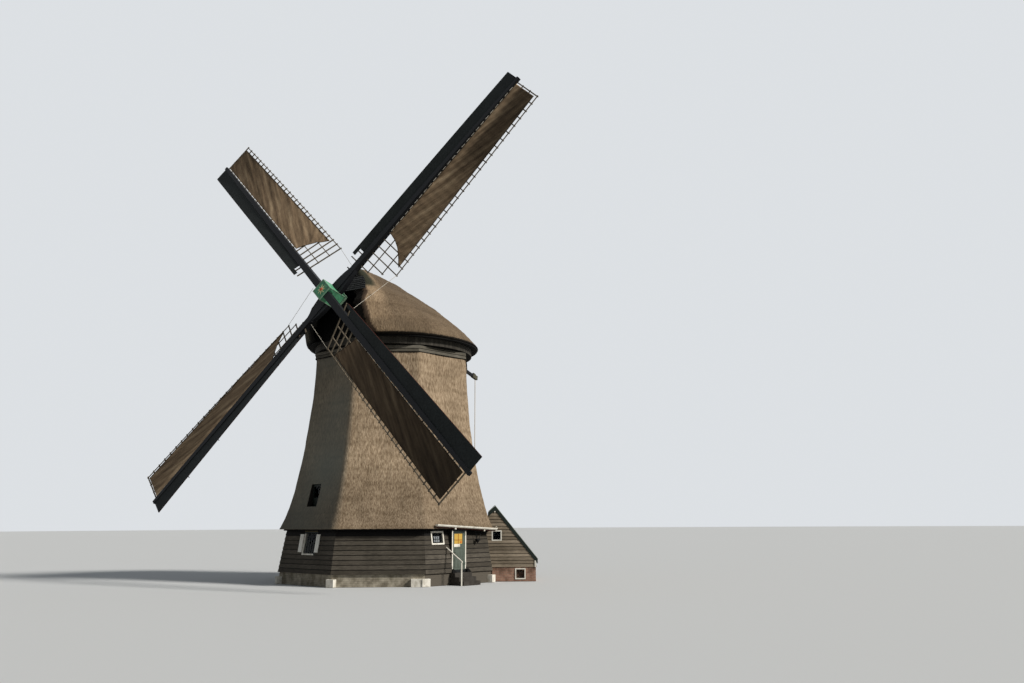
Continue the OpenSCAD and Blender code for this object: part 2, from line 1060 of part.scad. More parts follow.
// Two long beams on the ring, with the blocks that carry the windshaft
module cap_beams() {
    beam_top = eave_z + beam_h;
    color("#4a3a2c")
        difference() {
            cap_frame() {
                for (side = [-1, 1])
                    across_block(
                        [side * beam_x - beam_w / 2, side * beam_x + beam_w / 2],
                        beam_y,
                        [eave_z, beam_top]
                    );
                across_block([-block_half, block_half], neck_block_y, [beam_top, beam_top + neck_block_h]);
                across_block([-block_half, block_half], tail_block_y, [beam_top, beam_top + tail_block_h]);
            }
            shaft_frame()
                translate([0, 0, -shaft_tail - shaft_past])
                    cylinder(r = shaft_r + shaft_play, h = 2 * shaft_tail);
        }
}

module brake_lever() {
    color("#2b2f33")
        brake_lever_solid();
}

// Tube with one ring of points round each point of a route
module tube(route, r, sides) {
    n = len(route);
    rings = [for (p = route) for (k = [0:sides - 1])
        p + [r * cos(360 * k / sides), r * sin(360 * k / sides), 0]];
    polyhedron(
        points = rings,
        faces = concat(
            [[for (k = [0:sides - 1]) k]],
            [for (i = [0:n - 2]) for (k = [0:sides - 1]) [
                i * sides + k,
                (i + 1) * sides + k,
                (i + 1) * sides + (k + 1) % sides,
                i * sides + (k + 1) % sides
            ]],
            [[for (k = [sides - 1:-1:0]) (n - 1) * sides + k]]
        )
    );
}

module brake_rope() {
    color("tan")
        cap_frame()
            tube(rope_points, rope_r, rope_sides);
}

module windshaft() {
    color("#3a3a38")
        shaft_frame()
            translate([0, 0, -shaft_tail])
                cylinder(r = shaft_r, h = shaft_tail + poll_back);
}

// Stock: a square beam through the poll end, thinning towards both tips
module stock_form(angle, lift) {
    shaft_frame()
        rotate([0, 0, angle])
            translate([0, 0, lift])
                for (side = [0, 180])
                    rotate([0, 0, side])
                        intersection() {
                            rotate([90, 0, 90])
                                linear_extrude(2 * stock_w, center = true)
                                    polygon([
                                        [0, -stock_t / 2],
                                        [sail_r, -stock_tip_t / 2],
                                        [sail_r, stock_tip_t / 2],
                                        [0, stock_t / 2]
                                    ]);
                            linear_extrude(2 * stock_t, center = true)
                                polygon([
                                    [-stock_w / 2, 0],
                                    [-stock_tip_w / 2, sail_r],
                                    [stock_tip_w / 2, sail_r],
                                    [stock_w / 2, 0]
                                ]);
                        }
}

module outer_stock_form() {
    stock_form(sail_clock, stock_gap);
}

module inner_stock_form() {
    stock_form(sail_clock + 90, 0);
}

module poll_end() {
    color("#2f5a45")
        difference() {
            shaft_frame()
                rotate([0, 0, sail_clock])
                    translate([-poll_w / 2, -poll_w / 2, poll_back])
                        cube([poll_w, poll_w, poll_front - poll_back]);
            outer_stock_form();
            inner_stock_form();
        }
}

module stock_outer() {
    color("#23262c")
        outer_stock_form();
}

module stock_cheeks() {
    shaft_frame()
        for (side = [90, 270])
            rotate([0, 0, sail_clock + side])
                linear_extrude(cheek_t, center = true)
                    polygon(concat(
                        [for (i = [0:cheek_steps]) [cheek_half(i), cheek_at(i)]],
                        [for (i = [cheek_steps:-1:0]) [-cheek_half(i), cheek_at(i)]]
                    ));
}

module stock_inner() {
    color("#23262c") {
        inner_stock_form();
        stock_cheeks();
    }
}

// Places a piece on one sail, its length along +Y and its trailing edge towards +X
module sail_frame(number) {
    shaft_frame()
        rotate([0, 0, sail_clock + 90 * number])
            translate([0, 0, number % 2 == 0 ? stock_gap : 0])
                children();
}

// Straight lath between two points of a sail, turned to the weather angle at a radius
module lath(p, q, r) {
    d = q - p;
    l = norm(d);
    translate(p)
        rotate([asin(d[2] / l), 0, atan2(-d[0], d[1])])
            rotate([0, weather(r), 0])
                translate([-lath_w / 2, -lath_lap, -lath_t / 2])
                    cube([lath_w, l + 2 * lath_lap, lath_t]);
}

// Ruled slab on a sail between two edges, given as widths at each radius
module sail_slab(radii, near, far, lift0, lift1) {
    n = len(radii);
    corners = [for (i = [0:n - 1]) for (c = [
        [near[i], lift0], [far[i], lift0], [far[i], lift1], [near[i], lift1]
    ]) sail_point(radii[i], c[0], c[1])];
    polyhedron(
        points = corners,
        faces = concat(
            [[3, 2, 1, 0]],
            [for (i = [0:n - 2]) for (k = [0:3]) each [
                [(i + 1) * 4 + (k + 1) % 4, (i + 1) * 4 + k, i * 4 + k],
                [i * 4 + (k + 1) % 4, (i + 1) * 4 + (k + 1) % 4, i * 4 + k]
            ]],
            [[(n - 1) * 4, (n - 1) * 4 + 1, (n - 1) * 4 + 2, (n - 1) * 4 + 3]]
        )
    );
}

// Bars and long laths of one sail; stepped heels have their first bars cut back to the laths
module lattice_form(stepped) {
    knots = [for (i = [0:lath_runs]) round((bar_count - 1) * i / lath_runs)];
    for (i = [0:bar_count - 1]) {
        r = bar_r(i);
        share = stepped ? min(1, (i + 1) / lath_count) : 1;
        lead = board_w(r) - bar_hidden;
        translate([0, r, 0])
            rotate([0, weather(r), 0])
                translate([-lead, -bar_w / 2, -bar_t / 2])
                    cube([lead + lattice_w(r) * share + bar_end, bar_w, bar_t]);
    }
    for (n = [1:lath_count])
        for (i = [0:lath_runs - 1]) {
            first = stepped ? n - 1 : 0;
            share = n / lath_count;
            ra = i == 0 ? bar_r(first) - lath_end : bar_r(knots[i]);
            rb = bar_r(knots[i + 1]) + (i == lath_runs - 1 ? lath_end : 0);
            lath(
                sail_point(ra, lattice_w(ra) * share, 0),
                sail_point(rb, lattice_w(rb) * share, 0),
                (ra + rb) / 2
            );
        }
}

module lattice(number) {
    color("#6b5844")
        difference() {
            sail_frame(number)
                lattice_form(number % 2 == 1);
            if (number % 2 == 0)
                outer_stock_form();
            else
                inner_stock_form();
        }
}

module lattice_upper_left() {
    lattice(0);
}

module lattice_lower_left() {
    lattice(1);
}

module lattice_lower_right() {
    lattice(2);
}

module lattice_upper_right() {
    lattice(3);
}

// Leading boards, with a gap beside the stock at the heel
module sail_boards() {
    radii = [for (i = [0:board_runs]) board_r0 + (sail_r - board_end - board_r0) * i / board_runs];
    lift = bar_t / 2 + cloth_gap;
    color("#15201f")
        for (number = [0:3])
            sail_frame(number)
                difference() {
                    sail_slab(
                        radii,
                        [for (r = radii) -board_w(r)],
                        [for (r = radii) -stock_half(r) - board_play],
                        lift,
                        lift + board_t
                    );
                    translate([-board_notch_w - stock_w / 2, 0, -stock_w])
                        cube([board_notch_w + stock_w / 2, board_notch_r, 2 * stock_w]);
                }
}

// Both triangles of a face given by its corners
function halves(a, b, c, d) = [[a, b, c], [a, c, d]];

// Spread cloth of one sail: strips from the stock outwards, from the slanting heel to the tip
module cloth(heel) {
    row = 2 * (cloth_strips + 1);
    lift = bar_t / 2 + cloth_gap;
    points = [for (i = [0:cloth_runs]) for (j = [0:cloth_strips]) for (k = [0, 1])
        let (
            share = j / cloth_strips,
            start = heel[0] + (heel[1] - heel[0]) * share + heel[2] * sin(180 * share),
            r = start + (cloth_r1 - start) * i / cloth_runs,
            near = stock_half(r) + cloth_lace,
            far = lattice_w(r) - cloth_side
        )
        sail_point(r, near + (far - near) * share, lift + cloth_t * k)];
    function at(i, j, k) = i * row + 2 * j + k;
    polyhedron(
        points = points,
        faces = concat(
            [for (i = [0:cloth_runs - 1]) for (j = [0:cloth_strips - 1]) each concat(
                halves(at(i, j, 1), at(i + 1, j, 1), at(i + 1, j + 1, 1), at(i, j + 1, 1)),
                halves(at(i, j, 0), at(i, j + 1, 0), at(i + 1, j + 1, 0), at(i + 1, j, 0))
            )],
            [for (i = [0:cloth_runs - 1]) each concat(
                halves(at(i, 0, 0), at(i + 1, 0, 0), at(i + 1, 0, 1), at(i, 0, 1)),
                halves(
                    at(i, cloth_strips, 1),
                    at(i + 1, cloth_strips, 1),
                    at(i + 1, cloth_strips, 0),
                    at(i, cloth_strips, 0)
                )
            )],
            [for (j = [0:cloth_strips - 1]) each concat(
                halves(at(0, j, 0), at(0, j, 1), at(0, j + 1, 1), at(0, j + 1, 0)),
                halves(
                    at(cloth_runs, j, 1),
                    at(cloth_runs, j, 0),
                    at(cloth_runs, j + 1, 0),
                    at(cloth_runs, j + 1, 1)
                )
            )]
        )
    );
}

module sail_cloths() {
    color("#4a3a30")
        for (number = [0:3])
            sail_frame(number)
                cloth(cloth_heels[number]);
}

plinth();
corner_piers();
wall_front();
wall_front_left();
wall_left();
wall_back_left();
wall_back();
wall_back_right();
wall_right();
door_wall_left();
door_wall_right();
door_wall_head();
loft_floor();
thatch_front();
thatch_front_right();
thatch_right();
thatch_back_right();
thatch_back();
thatch_back_left();
thatch_left();
thatch_front_left();
curb_boards();
door_frame();
door_leaf();
door_glass();
gutter();
stair();
handrail();
lantern();
window_frames();
window_glass();
shutter_left();
shutter_right();
annex_plinth();
annex_front_wall();
annex_back_wall();
annex_eave_wall();
annex_roof();
annex_barge_boards();
cap_thatch_left();
cap_thatch_right();
gable_boards();
cap_beams();
cap_ring();
cap_soffit();
brake_lever();
brake_rope();
windshaft();
poll_end();
stock_outer();
stock_inner();
lattice_upper_left();
lattice_lower_left();
lattice_lower_right();
lattice_upper_right();
sail_boards();
sail_cloths();
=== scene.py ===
import random
from math import atan, atan2, cos, degrees, exp, hypot, pi, radians, sin, sqrt, tan

import bmesh
import bpy
from mathutils import Matrix, Vector, noise


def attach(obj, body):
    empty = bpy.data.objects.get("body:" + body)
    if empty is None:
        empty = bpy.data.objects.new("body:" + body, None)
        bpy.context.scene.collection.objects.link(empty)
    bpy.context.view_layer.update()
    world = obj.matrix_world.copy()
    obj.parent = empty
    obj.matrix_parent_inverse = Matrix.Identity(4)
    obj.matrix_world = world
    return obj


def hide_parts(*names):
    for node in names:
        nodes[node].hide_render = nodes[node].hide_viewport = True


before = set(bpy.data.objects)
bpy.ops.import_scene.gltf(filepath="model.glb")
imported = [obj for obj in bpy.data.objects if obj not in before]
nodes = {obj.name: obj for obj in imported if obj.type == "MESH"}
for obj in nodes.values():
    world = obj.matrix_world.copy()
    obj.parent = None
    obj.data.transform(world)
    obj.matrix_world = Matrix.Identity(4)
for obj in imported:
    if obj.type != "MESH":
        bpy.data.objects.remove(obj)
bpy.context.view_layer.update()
random.seed(7)
scene = bpy.context.scene


def turn(degrees, axis="Z"):
    return Matrix.Rotation(radians(degrees), 4, axis)


def move(x, y, z):
    return Matrix.Translation((x, y, z))


def mix(a, b, share):
    return a + (b - a) * share


def clamp(share):
    return min(1, max(0, share))


# Camera, fitted to the photo
view = {
    "distance": 43.943, "azimuth": 5.709, "height": 2.582, "pan": 7.435, "pitch": 11.134,
    "roll": -0.324, "lens": 32.294, "sensor": 36, "clipEnd": 2000,
}


def linkObject(name, data):
    made = bpy.data.objects.new(name, data)
    scene.collection.objects.link(made)
    return made


cameraData = bpy.data.cameras.new("photoCamera")
cameraData.sensor_width = view["sensor"]
cameraData.lens = view["lens"]
cameraData.clip_end = view["clipEnd"]
scene.camera = linkObject("photoCamera", cameraData)
cameraPlace = turn(view["azimuth"]) @ move(0, -view["distance"], view["height"])
cameraTurn = turn(-view["pan"]) @ turn(90 + view["pitch"], "X") @ turn(view["roll"])
scene.camera.matrix_world = cameraPlace @ cameraTurn

# Frames of the mill
mill = {
    "capTurn": -34, "shaft": (0, -4.4, 12.55), "shaftTilt": 13, "sailTurn": 47, "stockGap": 0.5,
    "wallOut": 4.6933, "wallFoot": 0.5, "batter": 0.1666,
}
facets = range(-135, 181, 45)
halfFacet = radians(22.5)
facetTan = tan(halfFacet)
wallBatter = degrees(atan(mill["batter"]))
capMatrix = turn(mill["capTurn"])
shaftMatrix = capMatrix @ move(*mill["shaft"]) @ turn(90 - mill["shaftTilt"], "X")


def wallU(z):
    return mill["wallOut"] - mill["batter"] * (z - mill["wallFoot"])


def onWall(angle, x, z):
    return turn(angle) @ move(x, -wallU(z), z) @ turn(-wallBatter, "X")


def sailMatrix(number):
    lift = mill["stockGap"] * (1 - number % 2)
    return shaftMatrix @ turn(mill["sailTurn"] + 90 * number) @ move(0, 0, lift)


# Each taper: where it starts, then its value there and at the tip
sails = {
    "tip": 12.64, "heel": 1.9, "bay": 0.3904, "weather": (1.9, 21.5, 2.5),
    "lattice": (1.9, 1.8, 1.6), "stock": (0, 0.165, 0.085), "boards": (2.05, 0.6, 0.75),
}


def taper(name, r):
    start, low, high = sails[name]
    return mix(low, high, (r - start) / (sails["tip"] - start))


def sailPoint(r, across, lift):
    w = radians(taper("weather", r))
    return Vector((
        across * cos(w) + lift * sin(w), r, lift * cos(w) - across * sin(w),
    ))


# Materials, with tones from 0 to 255
white = (255, 255, 255)


def paint(r, g, b):
    values = [c / 255 for c in (r, g, b)]
    return tuple(c / 12.92 if c < 0.04045 else ((c + 0.055) / 1.055) ** 2.4 for c in values) + (1,)


def addNode(tree, kind, inputs=None, **settings):
    made = tree.nodes.new("ShaderNode" + kind)
    for key, value in settings.items():
        setattr(made, key, value)
    for key, value in (inputs or {}).items():
        if isinstance(value, bpy.types.NodeSocket):
            tree.links.new(value, made.inputs[key])
        else:
            made.inputs[key].default_value = value
    return made


def newMaterial(name, roughness, metallic=0.0):
    made = bpy.data.materials.new(name)
    made.use_nodes = True
    tree = made.node_tree
    shader = tree.nodes["Principled BSDF"]
    shader.inputs["Roughness"].default_value = roughness
    shader.inputs["Metallic"].default_value = metallic
    shader.inputs["Specular IOR Level"].default_value = 0.2
    return made, tree, shader


def noiseOn(tree, coords, scale, stretch=(1, 1, 1), detail=3.0, rough=0.55):
    placed = addNode(tree, "Mapping", {"Vector": coords, "Scale": stretch})
    return addNode(
        tree, "TexNoise",
        {"Vector": placed.outputs[0], "Scale": scale, "Detail": detail, "Roughness": rough},
    ).outputs["Fac"]


def ramp(tree, value, stops):
    made = addNode(tree, "ValToRGB", {"Fac": value})
    points = made.color_ramp.elements
    while len(points) < len(stops):
        points.new(0.5)
    for point, (place, tone) in zip(points, stops):
        point.position = place
        point.color = paint(*tone)
    return made.outputs["Color"]


def blendColour(tree, share, a, b, kind="MIX"):
    inputs = {0: share, 6: a, 7: b}
    return addNode(tree, "Mix", inputs, data_type="RGBA", blend_type=kind).outputs[2]


def multiply(tree, share, a, b):
    return blendColour(tree, share, a, b, "MULTIPLY")


def stain(tree, share, colour, value, stops):
    return multiply(tree, share, colour, ramp(tree, value, stops))


def calculate(tree, kind, a, b=0.5, limited=False):
    return addNode(tree, "Math", {0: a, 1: b}, operation=kind, use_clamp=limited).outputs[0]


def greyOf(tree, value):
    return addNode(tree, "CombineXYZ", {"X": value, "Y": value, "Z": value}).outputs[0]


def useLooks(tree, shader, colour, height, strength, distance):
    tree.links.new(colour, shader.inputs["Base Color"])
    bump = addNode(tree, "Bump", {"Height": height, "Strength": strength, "Distance": distance})
    tree.links.new(bump.outputs[0], shader.inputs["Normal"])


def objectCoords(tree):
    return addNode(tree, "TexCoord").outputs["Object"]


def uvCoords(tree, name):
    return addNode(tree, "UVMap", uv_map=name).outputs[0]


def wallCoords(tree):
    place = objectCoords(tree)
    facing = addNode(tree, "NewGeometry").outputs["True Normal"]
    along = addNode(tree, "VectorMath", {0: facing, 1: (0, 0, 1)}, operation="CROSS_PRODUCT")
    run = addNode(tree, "VectorMath", {0: place, 1: along.outputs[0]}, operation="DOT_PRODUCT")
    up = addNode(tree, "SeparateXYZ", {0: place}).outputs["Z"]
    return addNode(tree, "CombineXYZ", {"X": run.outputs["Value"], "Y": up}).outputs[0]


def thatchMaterial(name, tones, mossAndShadeTone, cutTone, mottle):
    made, tree, shader = newMaterial(name, 0.95)
    place = objectCoords(tree)
    looks = addNode(tree, "Attribute", attribute_name="looks").outputs["Vector"]
    looks = addNode(tree, "SeparateXYZ", {0: looks}).outputs
    streak = noiseOn(tree, place, 1, (26, 26, 4.6), 3, 0.6)
    dab = noiseOn(tree, place, 1, (12, 12, 5.5), 2, 0.5)
    patch = noiseOn(tree, place, 0.9, (1, 1, 0.7), 4, 0.6)
    colour = ramp(tree, streak, list(zip((0.33, 0.46, 0.58, 0.7), tones)))
    colour = stain(tree, mottle, colour, dab, [(0.3, (206, 201, 194)), (0.55, white)])
    colour = stain(tree, 0.8, colour, patch, [(0.35, (212, 208, 202)), (0.62, (255, 253, 250))])
    wave = addNode(
        tree, "TexWave",
        {"Vector": place, "Scale": 0.52, "Distortion": 1.8, "Detail": 2.0, "Detail Scale": 2.2},
        bands_direction="Z",
    ).outputs["Fac"]
    colour = stain(tree, 0.5, colour, wave, [(0.0, (226, 224, 220)), (0.3, white)])
    mossAndShade = paint(*mossAndShadeTone)
    soft = blendColour(tree, 0.55, multiply(tree, 1.0, colour, mossAndShade), mossAndShade)
    # Looks X blends in moss, which also stands for painted shade; Y blends in the cut edge; Z multiplies
    # the colour by a tone factor that carries painted light and shade.
    colour = blendColour(tree, looks["X"], colour, soft)
    colour = blendColour(tree, looks["Y"], colour, paint(*cutTone))
    colour = multiply(tree, 1.0, colour, greyOf(tree, looks["Z"]))
    height = calculate(tree, "ADD", streak, calculate(tree, "MULTIPLY", dab, 0.8))
    useLooks(tree, shader, colour, height, 0.6, 0.025)
    return made


plainLapShadeAndDirt = [(0.76, white), (0.84, (70, 68, 64))]


def woodMaterial(name, dark, light, grain=None, roughness=0.8, lap=plainLapShadeAndDirt):
    made, tree, shader = newMaterial(name, roughness)
    place = objectCoords(tree) if grain else uvCoords(tree, "wood")
    fine = noiseOn(tree, place, 2.2, grain or (1.6, 22, 1), 4, 0.6)
    patch = noiseOn(tree, objectCoords(tree), 1.1, (1, 1, 1), 3, 0.6)
    colour = ramp(tree, fine, [(0.3, dark), (0.7, light)])
    if not grain:
        row = addNode(tree, "SeparateXYZ", {0: uvCoords(tree, "row")}).outputs
        # Tone 0 is the dark row under the thatch skirt, painted shadow.
        stops = [(0.0, (50, 48, 46)), (0.2, (186, 184, 180)), (1.0, white)]
        colour = stain(tree, 1.0, colour, row["X"], stops)
        # Under each board's lap: painted shadow and dirt.
        colour = stain(tree, 1.0, colour, row["Y"], lap)
    colour = stain(tree, 0.5, colour, patch, [(0.35, (180, 180, 174)), (0.6, white)])
    useLooks(tree, shader, colour, fine, 0.35, 0.006)
    return made


def paintMaterial(name, tone, dirtTone, roughness, amount, metallic=0.0):
    made, tree, shader = newMaterial(name, roughness, metallic)
    place = objectCoords(tree)
    dirt = noiseOn(tree, place, 5, (1, 1, 0.6), 4, 0.65)
    colour = stain(tree, amount, paint(*tone), dirt, [(0.45, white), (0.75, dirtTone)])
    useLooks(tree, shader, colour, noiseOn(tree, place, 30, (1, 1, 1), 3, 0.5), 0.12, 0.002)
    return made


def brickMaterial(name, dark, light, mortar, width, height, joint):
    made, tree, shader = newMaterial(name, 0.9)
    inputs = {
        "Vector": wallCoords(tree), "Color1": paint(*dark), "Color2": paint(*light),
        "Mortar": paint(*mortar), "Scale": 1.0, "Mortar Size": joint, "Mortar Smooth": 0.3,
        "Bias": -0.1, "Brick Width": width, "Row Height": height,
    }
    bricks = addNode(tree, "TexBrick", inputs).outputs
    dirt = noiseOn(tree, objectCoords(tree), 2.6, (1, 1, 1), 4, 0.6)
    colour = stain(tree, 0.8, bricks["Color"], dirt, [(0.36, (150, 146, 140)), (0.62, white)])
    rough = noiseOn(tree, objectCoords(tree), 40, (1, 1, 1), 3, 0.6)
    depth = calculate(tree, "SUBTRACT", rough, calculate(tree, "MULTIPLY", bricks["Fac"], 1.4))
    useLooks(tree, shader, colour, depth, 0.5, 0.008)
    return made


def clothMaterial(name, stops):
    made, tree, shader = newMaterial(name, 0.9)
    place = uvCoords(tree, "wood")
    long = noiseOn(tree, place, 1.0, (4.6, 0.6, 1), 5, 0.6)
    weave = noiseOn(tree, place, 60, (1, 1, 1), 2, 0.5)
    # The shade attribute carries painted shade and painted highlights per sail.
    shade = addNode(tree, "Attribute", attribute_name="shade").outputs["Fac"]
    colour = multiply(tree, 1.0, ramp(tree, long, stops), greyOf(tree, shade))
    useLooks(tree, shader, colour, weave, 0.15, 0.002)
    return made


def glassMaterial(name, tone, alpha, roughness):
    made, tree, shader = newMaterial(name, roughness)
    shader.inputs["Base Color"].default_value = paint(*tone)
    shader.inputs["Alpha"].default_value = alpha
    shader.inputs["Specular IOR Level"].default_value = 0.12
    return made


# Four reed tones, the moss tone, which also serves as painted shade, the cut edge and the mottle's share
thatchRows = {
    "towerThatch": (
        ((132, 114, 94), (156, 137, 114), (174, 155, 131), (192, 173, 148)),
        (150, 154, 146), (168, 148, 128), 0.85,
    ),
    "capThatch": (
        ((110, 94, 76), (126, 109, 89), (138, 120, 98), (152, 133, 110)),
        (76, 78, 62), (104, 85, 70), 0.5,
    ),
}
# Dark and light tone, the grain's stretch, the roughness and the lap's stops, which paint shadow and dirt
# under each board's lap
woodRows = {
    # Near-black reed for the thatch window reveals, painted shade
    "darkReed": ((14, 12, 10), (34, 29, 24), (20, 20, 4)),
    "tarredBoards": ((66, 61, 54), (110, 103, 92)),
    "annexBoards": ((132, 120, 105), (178, 163, 142)),
    "innerWood": ((30, 27, 23), (52, 46, 40), (8, 8, 2)),
    "bareTimber": ((84, 68, 50), (124, 103, 78), (9, 9, 2)),
    "greyBoards": ((100, 96, 86), (138, 132, 120)),
    "darkBoards": ((56, 53, 48), (92, 87, 79)),
    # Gable rows: lighter at each board's lower edge, with painted shadow up under the lap above
    "gableBoards": (
        (78, 80, 81), (112, 114, 116), None, 0.8, [(0.1, white), (0.3, (96, 98, 98)), (0.85, (60, 60, 60))],
    ),
    # Black tar, also near black as painted shade on the gable and the eave's underside
    "blackTar": ((7, 7, 7), (15, 14, 13), (6, 6, 6), 0.95),
    "latticeWood": ((98, 88, 75), (142, 130, 112), (6, 6, 6)),
    "sailBoardPaint": ((26, 30, 30), (46, 50, 50), (5, 5, 5)),
    "roofCover": ((46, 45, 41), (78, 75, 68)),
}
# Colour and dirt, the roughness, the dirt's share and the metal
whiteRow = ((236, 232, 220), (160, 152, 136), 0.5, 0.6)
paintRows = {
    "whitePaint": whiteRow,
    "frameWhite": whiteRow,
    "postWhite": whiteRow,
    "shutterPaint": ((248, 246, 238), (190, 184, 170), 0.6, 0.4),
    "greenPaint": ((32, 41, 37), (130, 126, 112), 0.5, 0.6),
    "doorPaint": ((90, 99, 90), (150, 146, 132), 0.6, 0.6),
    "whiteStone": ((236, 231, 219), (150, 144, 130), 0.9, 0.7),
    "blackIron": ((20, 20, 21), (110, 84, 66), 0.5, 0.6, 0.3),
    "pollPaint": ((94, 166, 126), (96, 84, 66), 0.45, 0.6),
    "pollEdge": ((140, 172, 146), (130, 120, 100), 0.45, 0.5),
    "creamPaint": ((240, 230, 180), (190, 170, 130), 0.45, 0.4),
    "orangePaint": ((204, 84, 46), (170, 130, 100), 0.45, 0.4),
    "stockPaint": ((15, 17, 21), (150, 140, 124), 0.6, 0.6),
    "rope": ((196, 180, 150), (140, 124, 100), 0.9, 0.8),
    "whiteRope": ((222, 216, 202), (160, 150, 134), 0.9, 0.8),
    "boltRope": ((66, 55, 44), (160, 150, 134), 0.9, 0.8),
    "curtain": ((126, 132, 126), (150, 144, 130), 0.9, 0.5),
    "stairWood": ((66, 62, 57), (140, 132, 118), 0.8, 0.8),
    "redLine": ((86, 48, 40), (130, 110, 90), 0.7, 0.6),
    "ochre": ((168, 112, 44), (150, 120, 90), 0.6, 0.5),
    "olive": ((92, 82, 56), (120, 110, 90), 0.8, 0.6),
    "greyIron": ((84, 82, 68), (120, 110, 90), 0.6, 0.6),
    "paleGreen": ((134, 142, 134), (130, 126, 112), 0.6, 0.6),
    "curtainBlue": ((238, 246, 252), (190, 190, 190), 0.9, 0.4),
}
# Two bricks, the mortar, a brick's width and height and the joint
brickRows = {
    "plinthBrick": ((186, 177, 159), (173, 165, 147), (160, 152, 137), 0.24, 0.075, 0.008),
    "annexBrick": ((172, 132, 112), (150, 112, 96), (158, 144, 128), 0.22, 0.068, 0.009),
}
clothRows = {"sailcloth": [[(0.32, (98, 80, 62)), (0.52, (147, 124, 98)), (0.7, (190, 165, 133))]]}
# Colour, the alpha and the roughness
glassRows = {
    "windowGlass": ((14, 17, 19), 0.3, 0.08),
    "yellowGlass": ((200, 164, 78), 1.0, 0.3),
}
materials = {}
for makeMaterial, rows in (
    (thatchMaterial, thatchRows), (woodMaterial, woodRows), (paintMaterial, paintRows),
    (brickMaterial, brickRows), (clothMaterial, clothRows), (glassMaterial, glassRows),
):
    materials.update({name: makeMaterial(name, *row) for name, row in rows.items()})

def darkenParts(name, tone, makeMask):
    tree = materials[name].node_tree
    base = tree.nodes["Principled BSDF"].inputs["Base Color"]
    place = addNode(tree, "SeparateXYZ", {0: objectCoords(tree)}).outputs

    def calc(kind, *values):
        return calculate(tree, kind, *values)

    mask = makeMask(calc, place["X"], place["Y"], place["Z"])
    tree.links.new(blendColour(tree, mask, base.links[0].from_socket, paint(*tone)), base)


# Each mask's limits are in metres, in world axes
def frameMask(calc, x, y, z, facingOver=5.0, upperOver=3.2, headOver=2.15, lowOver=4.5, highUnder=1.13):
    facing = calc("GREATER_THAN", calc("ABSOLUTE", calc("ADD", x, y)), facingOver)
    along = calc("SUBTRACT", calc("MULTIPLY", y, y), calc("MULTIPLY", x, x))
    upper = calc("GREATER_THAN", z, upperOver)
    low = calc("MAXIMUM", calc("GREATER_THAN", z, headOver), calc("GREATER_THAN", along, lowOver))
    low = calc("MULTIPLY", calc("SUBTRACT", 1.0, upper), low)
    high = calc("MULTIPLY", upper, calc("LESS_THAN", along, highUnder))
    return calc("MULTIPLY", facing, calc("ADD", high, low))


# The door frame's sides are darkened as painted shade; its foot and head are darkened too.
def postMask(calc, x, y, z, sideUnder=6.58, footUnder=0.645, headOver=2.235):
    side = calc("LESS_THAN", calc("SUBTRACT", x, y), sideUnder)
    ends = calc("ADD", calc("LESS_THAN", z, footUnder), calc("GREATER_THAN", z, headOver))
    return calc("ADD", ends, side, True)


def plinthMask(calc, x, y, z, sideOver=6.545):
    return calc("GREATER_THAN", calc("SUBTRACT", x, y), sideOver)


darkenParts("frameWhite", (22, 28, 24), frameMask)
darkenParts("postWhite", (26, 28, 28), postMask)
darkenParts("plinthBrick", (92, 86, 77), plinthMask)
print("materials made")


# Pieces
def makeObject(name, bm):
    mesh = bpy.data.meshes.new(name)
    bm.to_mesh(mesh)
    bm.free()
    return linkObject(name, mesh)


def makePiece(name, bm, material, body="tower", replaced=()):
    bmesh.ops.recalc_face_normals(bm, faces=bm.faces)
    made = makeObject(name, bm)
    made.data.materials.append(materials[material])
    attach(made, body)
    if replaced:
        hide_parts(*replaced)
    return made


def addBox(bm, place, size, centre=(0, 0, 0)):
    shape = place @ move(*centre) @ Matrix.Diagonal((*size, 1))
    return bmesh.ops.create_cube(bm, size=1, matrix=shape)["verts"]


def addSpan(bm, place, *spans):
    size = [high - low for low, high in spans]
    return addBox(bm, place, size, [(low + high) / 2 for low, high in spans])


def makeSpans(name, material, body, place, spans):
    bm = bmesh.new()
    for span in spans:
        addSpan(bm, place, *span)
    makePiece(name, bm, material, body)


def addCone(bm, place, sides, low, high, depth):
    bmesh.ops.create_cone(
        bm, cap_ends=True, segments=sides, radius1=low, radius2=high, depth=depth, matrix=place
    )


def addBar(bm, a, b, radius, sides=8):
    a, b = Vector(a), Vector(b)
    upright = (b - a).to_track_quat("Z", "Y").to_matrix().to_4x4()
    addCone(bm, move(*(a + b) / 2) @ upright, sides, radius, radius, (b - a).length)


def addChain(bm, points, radius, sides=6):
    for a, b in zip(points, points[1:]):
        addBar(bm, a, b, radius, sides)


def applied(made):
    bpy.context.view_layer.update()
    whole = made.evaluated_get(bpy.context.evaluated_depsgraph_get())
    mesh = bpy.data.meshes.new_from_object(whole)
    made.modifiers.clear()
    old = made.data
    made.data = mesh
    bpy.data.meshes.remove(old)


def paintLooks(made, looksOf):
    values = [v for vert in made.data.vertices for v in looksOf(vert.co)]
    made.data.attributes.new("looks", "FLOAT_VECTOR", "POINT").data.foreach_set("vector", values)


def reedNoise(point, coarse, fine):
    reeds = noise.noise(Vector((point.x * 9, point.y * 9, point.z * fine)))
    return 0.03 * noise.noise(point * coarse) + 0.012 * reeds


# Brake rope, from the lever's end towards the ground, in the cap's axes
hanging = {
    "points": [
        (1.05, 5.34, 9.9), (1.05, 5.34, 9.6), (1.049, 5.341, 9.1), (1.047, 5.342, 8.6),
        (1.046, 5.342, 8.1), (1.045, 5.34, 7.6), (1.046, 5.338, 7.1), (1.048, 5.336, 6.6),
        (1.05, 5.335, 6.1), (1.052, 5.336, 5.6), (1.053, 5.338, 5.1), (1.052, 5.34, 4.7),
        (1.05, 5.342, 4.3), (1.047, 5.343, 3.95), (1.045, 5.342, 3.6),
    ],
    "radius": 0.016, "knot": 0.045, "knotDrop": 0.03,
}


